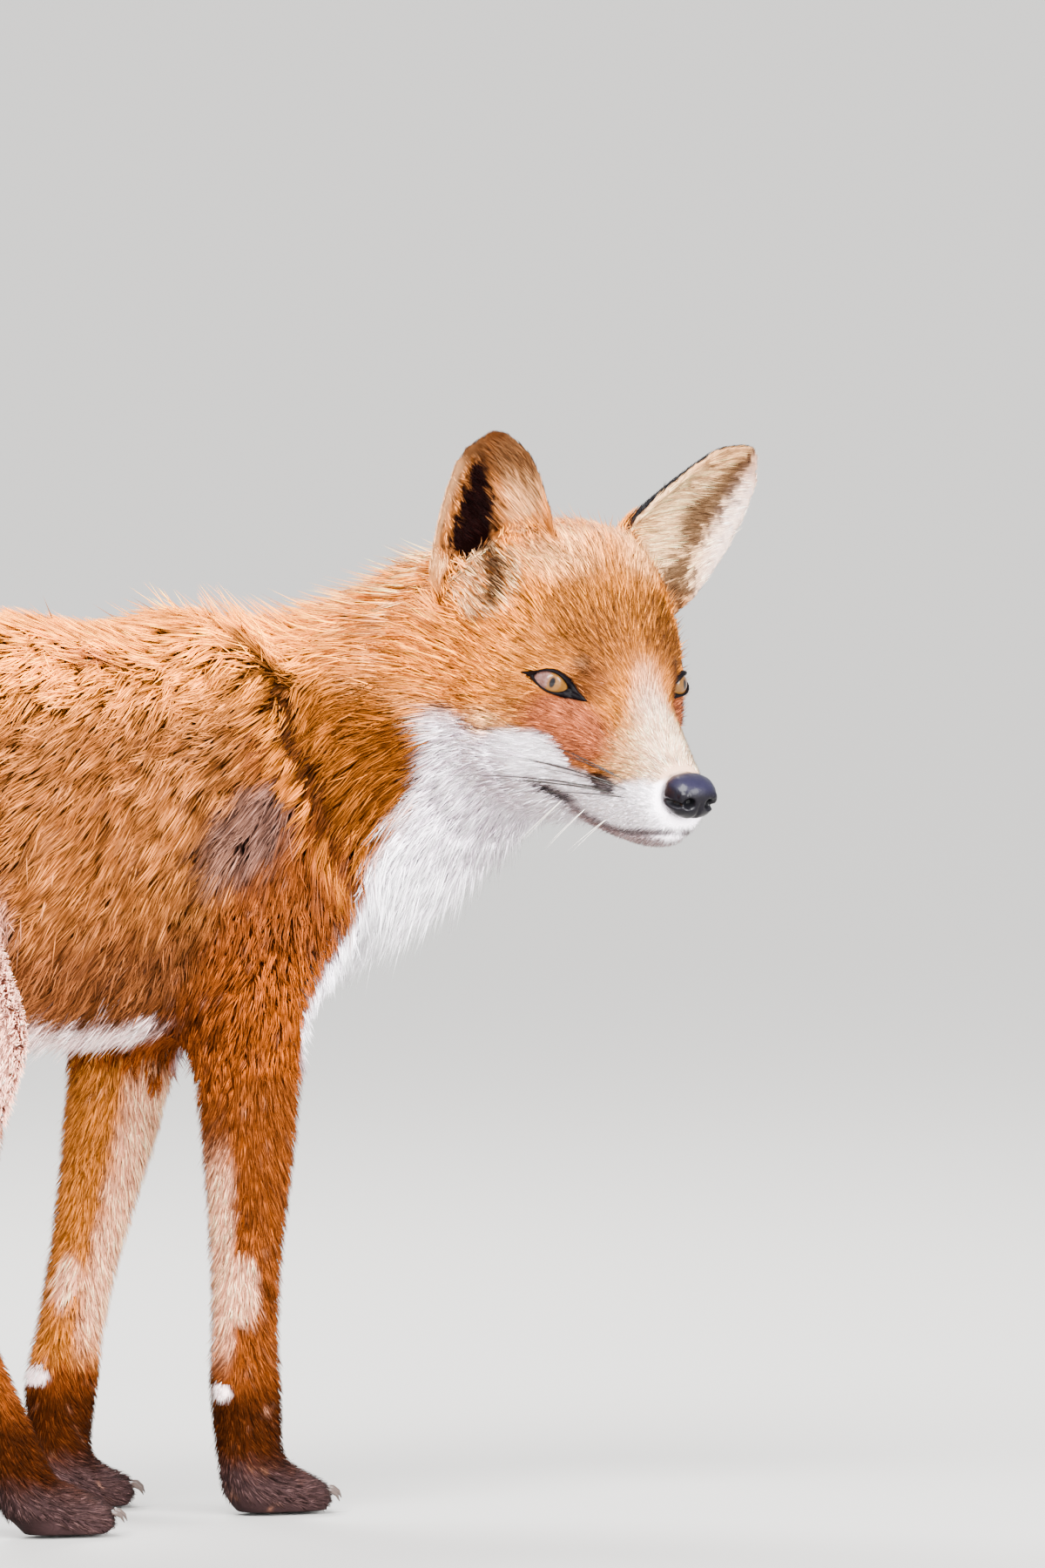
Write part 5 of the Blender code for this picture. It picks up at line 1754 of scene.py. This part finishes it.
class FOX_OT_body_coat(FoxOperator, bpy.types.Operator):
    """Grow the long coat of the shoulders, barrel and hindquarters."""
    bl_idname = "fox.body_coat"
    bl_label = "Body coat"

    def execute(self, context):
        pelt = self.pelt()
        on = pelt.face_node == LABEL["trunk"]
        x, z = pelt.middle[:, 0], pelt.middle[:, 2]
        grown(context, [
            ("coat_shoulders", on & (x >= 0.205)),
            ("coat_ribs", on & (x >= 0.100) & (x < 0.205)),
            ("coat_barrel", on & (x >= -0.010) & (x < 0.100)),
            ("coat_loins", on & (x < -0.010) & (z > 0.300)),
            ("coat_thighs", on & (x < -0.010) & (z <= 0.300)),
        ], clump_share=1.3, gather=0.37)
        return {"FINISHED"}


class FOX_OT_neck_coat(FoxOperator, bpy.types.Operator):
    """Grow the ruff of the neck and throat."""
    bl_idname = "fox.neck_coat"
    bl_label = "Neck coat"

    def execute(self, context):
        on = self.pelt().face_node == LABEL["neck"]
        grown(context, [("coat_neck", on)], clump_share=1.4, gather=0.45)
        return {"FINISHED"}


class FOX_OT_tail_coat(FoxOperator, bpy.types.Operator):
    """Grow the brush."""
    bl_idname = "fox.tail_coat"
    bl_label = "Tail coat"

    def execute(self, context):
        on = part_of(self.pelt().face_node, TAIL)
        grown(context, [("coat_tail", on)])
        return {"FINISHED"}


class FOX_OT_leg_coat(FoxOperator, bpy.types.Operator):
    """Grow the short coat of the legs and feet."""
    bl_idname = "fox.leg_coat"
    bl_label = "Leg coat"

    def execute(self, context):
        node = self.pelt().face_node
        pieces = [("coat_forelegs", part_of(node, LEGS[:2])), ("coat_hindlegs", part_of(node, LEGS[2:])),
                  ("coat_forepaws", part_of(node, PAWS[:2])), ("coat_hindfeet", part_of(node, PAWS[2:]))]
        grown(context, pieces, spindle=False, clump_share=0.5)
        return {"FINISHED"}


class FOX_OT_head_coat(FoxOperator, bpy.types.Operator):
    """Grow the coat of the face, cheeks and crown."""
    bl_idname = "fox.head_coat"
    bl_label = "Head coat"

    def execute(self, context):
        pelt = self.pelt()
        on = pelt.face_node == LABEL["head"]
        x = Head.local(pelt.middle)[:, 0]
        grown(context, [("coat_muzzle", on & (x >= 0.022)), ("coat_face", on & (x < 0.022) & (x >= -0.014))],
              spindle=False, clump_share=0.35, gather=0.24)
        grown(context, [("coat_cheeks", on & (x < -0.014))], clump_share=0.6, gather=0.24)
        return {"FINISHED"}


class FOX_OT_ear_coat(FoxOperator, bpy.types.Operator):
    """Grow the velvet on the backs of the ears and the long hair inside them."""
    bl_idname = "fox.ear_coat"
    bl_label = "Ear coat"

    def execute(self, context):
        on = part_of(self.pelt().face_node, EARS)
        grown(context, [("coat_ears", on)], spindle=False, clump_share=0.5)
        return {"FINISHED"}


class FOX_OT_eyes(FoxOperator, bpy.types.Operator):
    """Make the eyes and the dark rims of their lids."""
    bl_idname = "fox.eyes"
    bl_label = "Eyes"

    def execute(self, context):
        # a glass eye, painted behind and polished: a sharp highlight over a soft iris
        glass = painted_material("glass_eye_polished", 0.30, 0.3, 900.0, 0.0, gloss=0.10)
        # wet hide at the edge of the lids: near black with a narrow gloss
        wet = painted_material("hide_lid_waxed", 0.52, 0.0, 1500.0, 0.00012, gloss=0.06)
        for side in ("right", "left"):
            eye = Eye(side)
            ball, rim = eyeball(eye), lids(eye, self.pelt())
            ball.data.materials.append(glass)
            rim.data.materials.append(wet)
            finish_piece(ball, "eye", "eye_" + side)
            finish_piece(rim, "nose_leather")
        return {"FINISHED"}


class FOX_OT_nose(FoxOperator, bpy.types.Operator):
    """Make the bare leather of the nose."""
    bl_idname = "fox.nose"
    bl_label = "Nose"

    def execute(self, context):
        nose = nose_leather()
        # pebbled hide, waxed: a broad soft highlight broken by the grain
        nose.data.materials.clear()
        waxed = painted_material("hide_nose_waxed", 0.38, 0.05, 1400.0, 0.00025, gloss=0.13)
        nose.data.materials.append(waxed)
        finish_piece(nose, "nose_leather", "nose")
        return {"FINISHED"}


class FOX_OT_claws(FoxOperator, bpy.types.Operator):
    """Set a claw at the end of every toe."""
    bl_idname = "fox.claws"
    bl_label = "Claws"

    def execute(self, context):
        places, aims, sizes = [], [], []
        for name in PAWS:
            paw = Paw(name)
            for across, front in paw.toes():
                places.append((front - 0.0030, across, 0.0105))
                aims.append((1.0, 0.10 * np.sign(across - paw.centre), -0.30))
                sizes.append(1.0 if "fore" in name else 0.9)
        claw = swept("claw", [(0, 0, 0), (0.0035, 0, 0.0007), (0.0066, 0, -0.0002), (0.0090, 0, -0.0026)],
                     [0.0016, 0.0014, 0.0010, 0.0002], 8, flat=0.7)
        # horn, buffed by wear: dark with a dull shine
        horn, tree, shader = new_material("horn_claw_worn")
        shader.inputs["Roughness"].default_value = 0.38
        noise = add(tree, "ShaderNodeTexNoise", {"Scale": 700.0})
        colours = add(tree, "ShaderNodeValToRGB", {0: noise.outputs[0]})
        colours.color_ramp.elements[0].color = (*linear("#161110"), 1)
        colours.color_ramp.elements[1].color = (*linear("#443630"), 1)
        tree.links.new(colours.outputs[0], shader.inputs["Base Color"])
        claws = plant("claws", np.array(places), np.array(aims), np.array(sizes), claw, horn, 0.06, 3)
        finish_piece(claws, "nose_leather")
        return {"FINISHED"}


class FOX_OT_whiskers(FoxOperator, bpy.types.Operator):
    """Set the whiskers: dark on the muzzle, pale under the jaw."""
    bl_idname = "fox.whiskers"
    bl_label = "Whiskers"

    def execute(self, context):
        pelt = self.pelt()
        # where each starts along and up the head, its length, and the way it points
        dark = [(0.036 + 0.0065 * k, -0.0300 - 0.0042 * r + 0.0008 * k, 0.074 + 0.006 * r - 0.006 * k,
                 (-1.0 + 0.06 * k, 0.36 + 0.05 * r, 0.10 - 0.13 * r)) for k in range(4) for r in range(3)]
        pale = [(0.010 + 0.016 * k, -0.0540, 0.034 - 0.004 * k, (-0.55, 0.20 + 0.1 * r, -0.80))
                for k in range(3) for r in range(2)]
        # bristle: thin black lines that sweep back over the cheek, and thin white ones under the jaw
        groups = {"whiskers_dark": ("#17120F", dark), "whiskers_pale": ("#D9CFC4", pale)}
        for seed, (name, (shade, rows)) in enumerate(groups.items()):
            places, aims, sizes = [], [], []
            for side in (-1, 1):
                for x, z, length, way in rows:
                    start = Head.world((x, side * 0.020, z))
                    places.append(pelt.nearest(start)[0][0])
                    aims.append(Head.turn((way[0], side * way[1], way[2]))[0])
                    sizes.append(length)
            # one metre long; at a whisker's own length it is 0.3 to 0.8 mm thick at its root
            rod = swept("whisker", [(0.25 * k, 0, -0.10 * (0.25 * k) ** 2) for k in range(5)],
                        [0.0048, 0.0042, 0.0032, 0.0019, 0.0005], 4)
            bristle, _, shader = new_material(name.replace("whiskers", "bristle"))
            shader.inputs["Base Color"].default_value = (*linear(shade), 1)
            shader.inputs["Roughness"].default_value = 0.35
            made = plant(name, np.array(places), np.array(aims), np.array(sizes), rod, bristle, 0.05,
                         11 + seed)
            finish_piece(made, "nose_leather" if "dark" in name else "white_coat")
        return {"FINISHED"}


AIM = (0.3349, -0.0362, 0.3277)      # the point the camera looks at
# a broad light overhead, then softboxes: right of the aim, towards the camera and up, size and power
LIGHTS = [("overhead", "SUN", (-0.7, 1.8, 1.6), math.radians(35), 18.0),
          ("front", "AREA", (0.9, 3.0, 0.10), 3.0, 1200),
          ("fill", "AREA", (2.0, 2.2, 0.9), 1.8, 320),
          ("rim", "AREA", (-0.9, -1.7, 2.0), 1.2, 300)]


class FOX_OT_stage(FoxOperator, bpy.types.Operator):
    """Make the floor, the lights and the camera."""
    bl_idname = "fox.stage"
    bl_label = "Stage"

    def execute(self, context):
        settings = context.scene.fox_stage
        form = bmesh.new()
        bmesh.ops.create_grid(form, x_segments=2, y_segments=2, size=300.0)
        mesh = bpy.data.meshes.new("floor")
        form.to_mesh(mesh)
        form.free()
        floor = new_object("floor", mesh)
        paper, _, shader = new_material("paper_sweep_matt")
        shader.inputs["Base Color"].default_value = (*settings.floor, 1)
        shader.inputs["Roughness"].default_value = 0.9
        mesh.materials.append(paper)

        cos, sin = math.cos(settings.turn), math.sin(settings.turn)
        right = Vector((cos, -sin, 0))
        view = Vector((sin, cos, 0)) * math.cos(settings.drop) - Vector((0, 0, math.sin(settings.drop)))
        rise = right.cross(view)
        lens = bpy.data.cameras.new("camera")
        lens.sensor_width = 36
        lens.lens = lens.sensor_width * settings.distance / settings.height
        camera = bpy.data.objects.new("camera", lens)
        aim = Vector(AIM)
        camera.matrix_world = Matrix.Translation(aim - view * settings.distance) @ Matrix(
            (right, rise, -view)).transposed().to_4x4()
        context.scene.collection.objects.link(camera)
        context.scene.camera = camera

        for name, kind, place, size, power in LIGHTS:
            lamp = bpy.data.lights.new(name, kind)
            lamp.energy = power
            if kind == "SUN":
                lamp.angle = size
            else:
                lamp.shape = "DISK"
                lamp.size = size
            light = bpy.data.objects.new(name, lamp)
            light.visible_glossy = name != "front"      # it only lightens the shade
            spot = aim + right * place[0] - view * place[1] + Vector((0, 0, place[2]))
            facing = (spot - aim).to_track_quat("Z", "Y").to_matrix().to_4x4()
            light.matrix_world = Matrix.Translation(spot) @ facing
            context.scene.collection.objects.link(light)
        world = bpy.data.worlds.new("studio")
        world.use_nodes = True
        sky = world.node_tree.nodes["Background"]
        sky.inputs["Color"].default_value = (*linear("#F2F4F8"), 1)
        sky.inputs["Strength"].default_value = 1.50
        context.scene.world = world
        return {"FINISHED"}


class FOX_PT_panel(bpy.types.Panel):
    """The fox's pieces and settings."""
    bl_label = "Red fox"
    bl_idname = "FOX_PT_panel"
    bl_space_type = "VIEW_3D"
    bl_region_type = "UI"
    bl_category = "Red fox"

    def draw(self, context):
        layout = self.layout
        for group in ("fox_skin", "fox_coat", "fox_stage"):
            settings = getattr(context.scene, group)
            box = layout.box()
            for name in settings.__annotations__:
                box.prop(settings, name)
        for operator in OPERATORS:
            layout.operator(operator.bl_idname)


OPERATORS = [FOX_OT_skin, FOX_OT_body_coat, FOX_OT_neck_coat, FOX_OT_tail_coat, FOX_OT_leg_coat,
             FOX_OT_head_coat, FOX_OT_ear_coat, FOX_OT_eyes, FOX_OT_nose, FOX_OT_claws,
             FOX_OT_whiskers, FOX_OT_stage]
GROUPS = {"fox_skin": SkinSettings, "fox_coat": CoatSettings, "fox_stage": StageSettings}


def register():
    """Registers the settings, operators and panel."""
    for group in (*GROUPS.values(), *OPERATORS, FOX_PT_panel):
        bpy.utils.register_class(group)
    for name, group in GROUPS.items():
        setattr(bpy.types.Scene, name, PointerProperty(type=group))


def unregister():
    """Removes the settings, operators and panel."""
    for name in GROUPS:
        delattr(bpy.types.Scene, name)
    for group in (FOX_PT_panel, *reversed(OPERATORS), *GROUPS.values()):
        bpy.utils.unregister_class(group)


def main():
    """Builds the model and its stage."""
    register()
    for operator in (bpy.ops.fox.skin, bpy.ops.fox.body_coat, bpy.ops.fox.neck_coat, bpy.ops.fox.tail_coat,
                     bpy.ops.fox.leg_coat, bpy.ops.fox.head_coat, bpy.ops.fox.ear_coat, bpy.ops.fox.eyes,
                     bpy.ops.fox.nose, bpy.ops.fox.claws, bpy.ops.fox.whiskers, bpy.ops.fox.stage):
        operator()


if __name__ == "__main__":
    main()
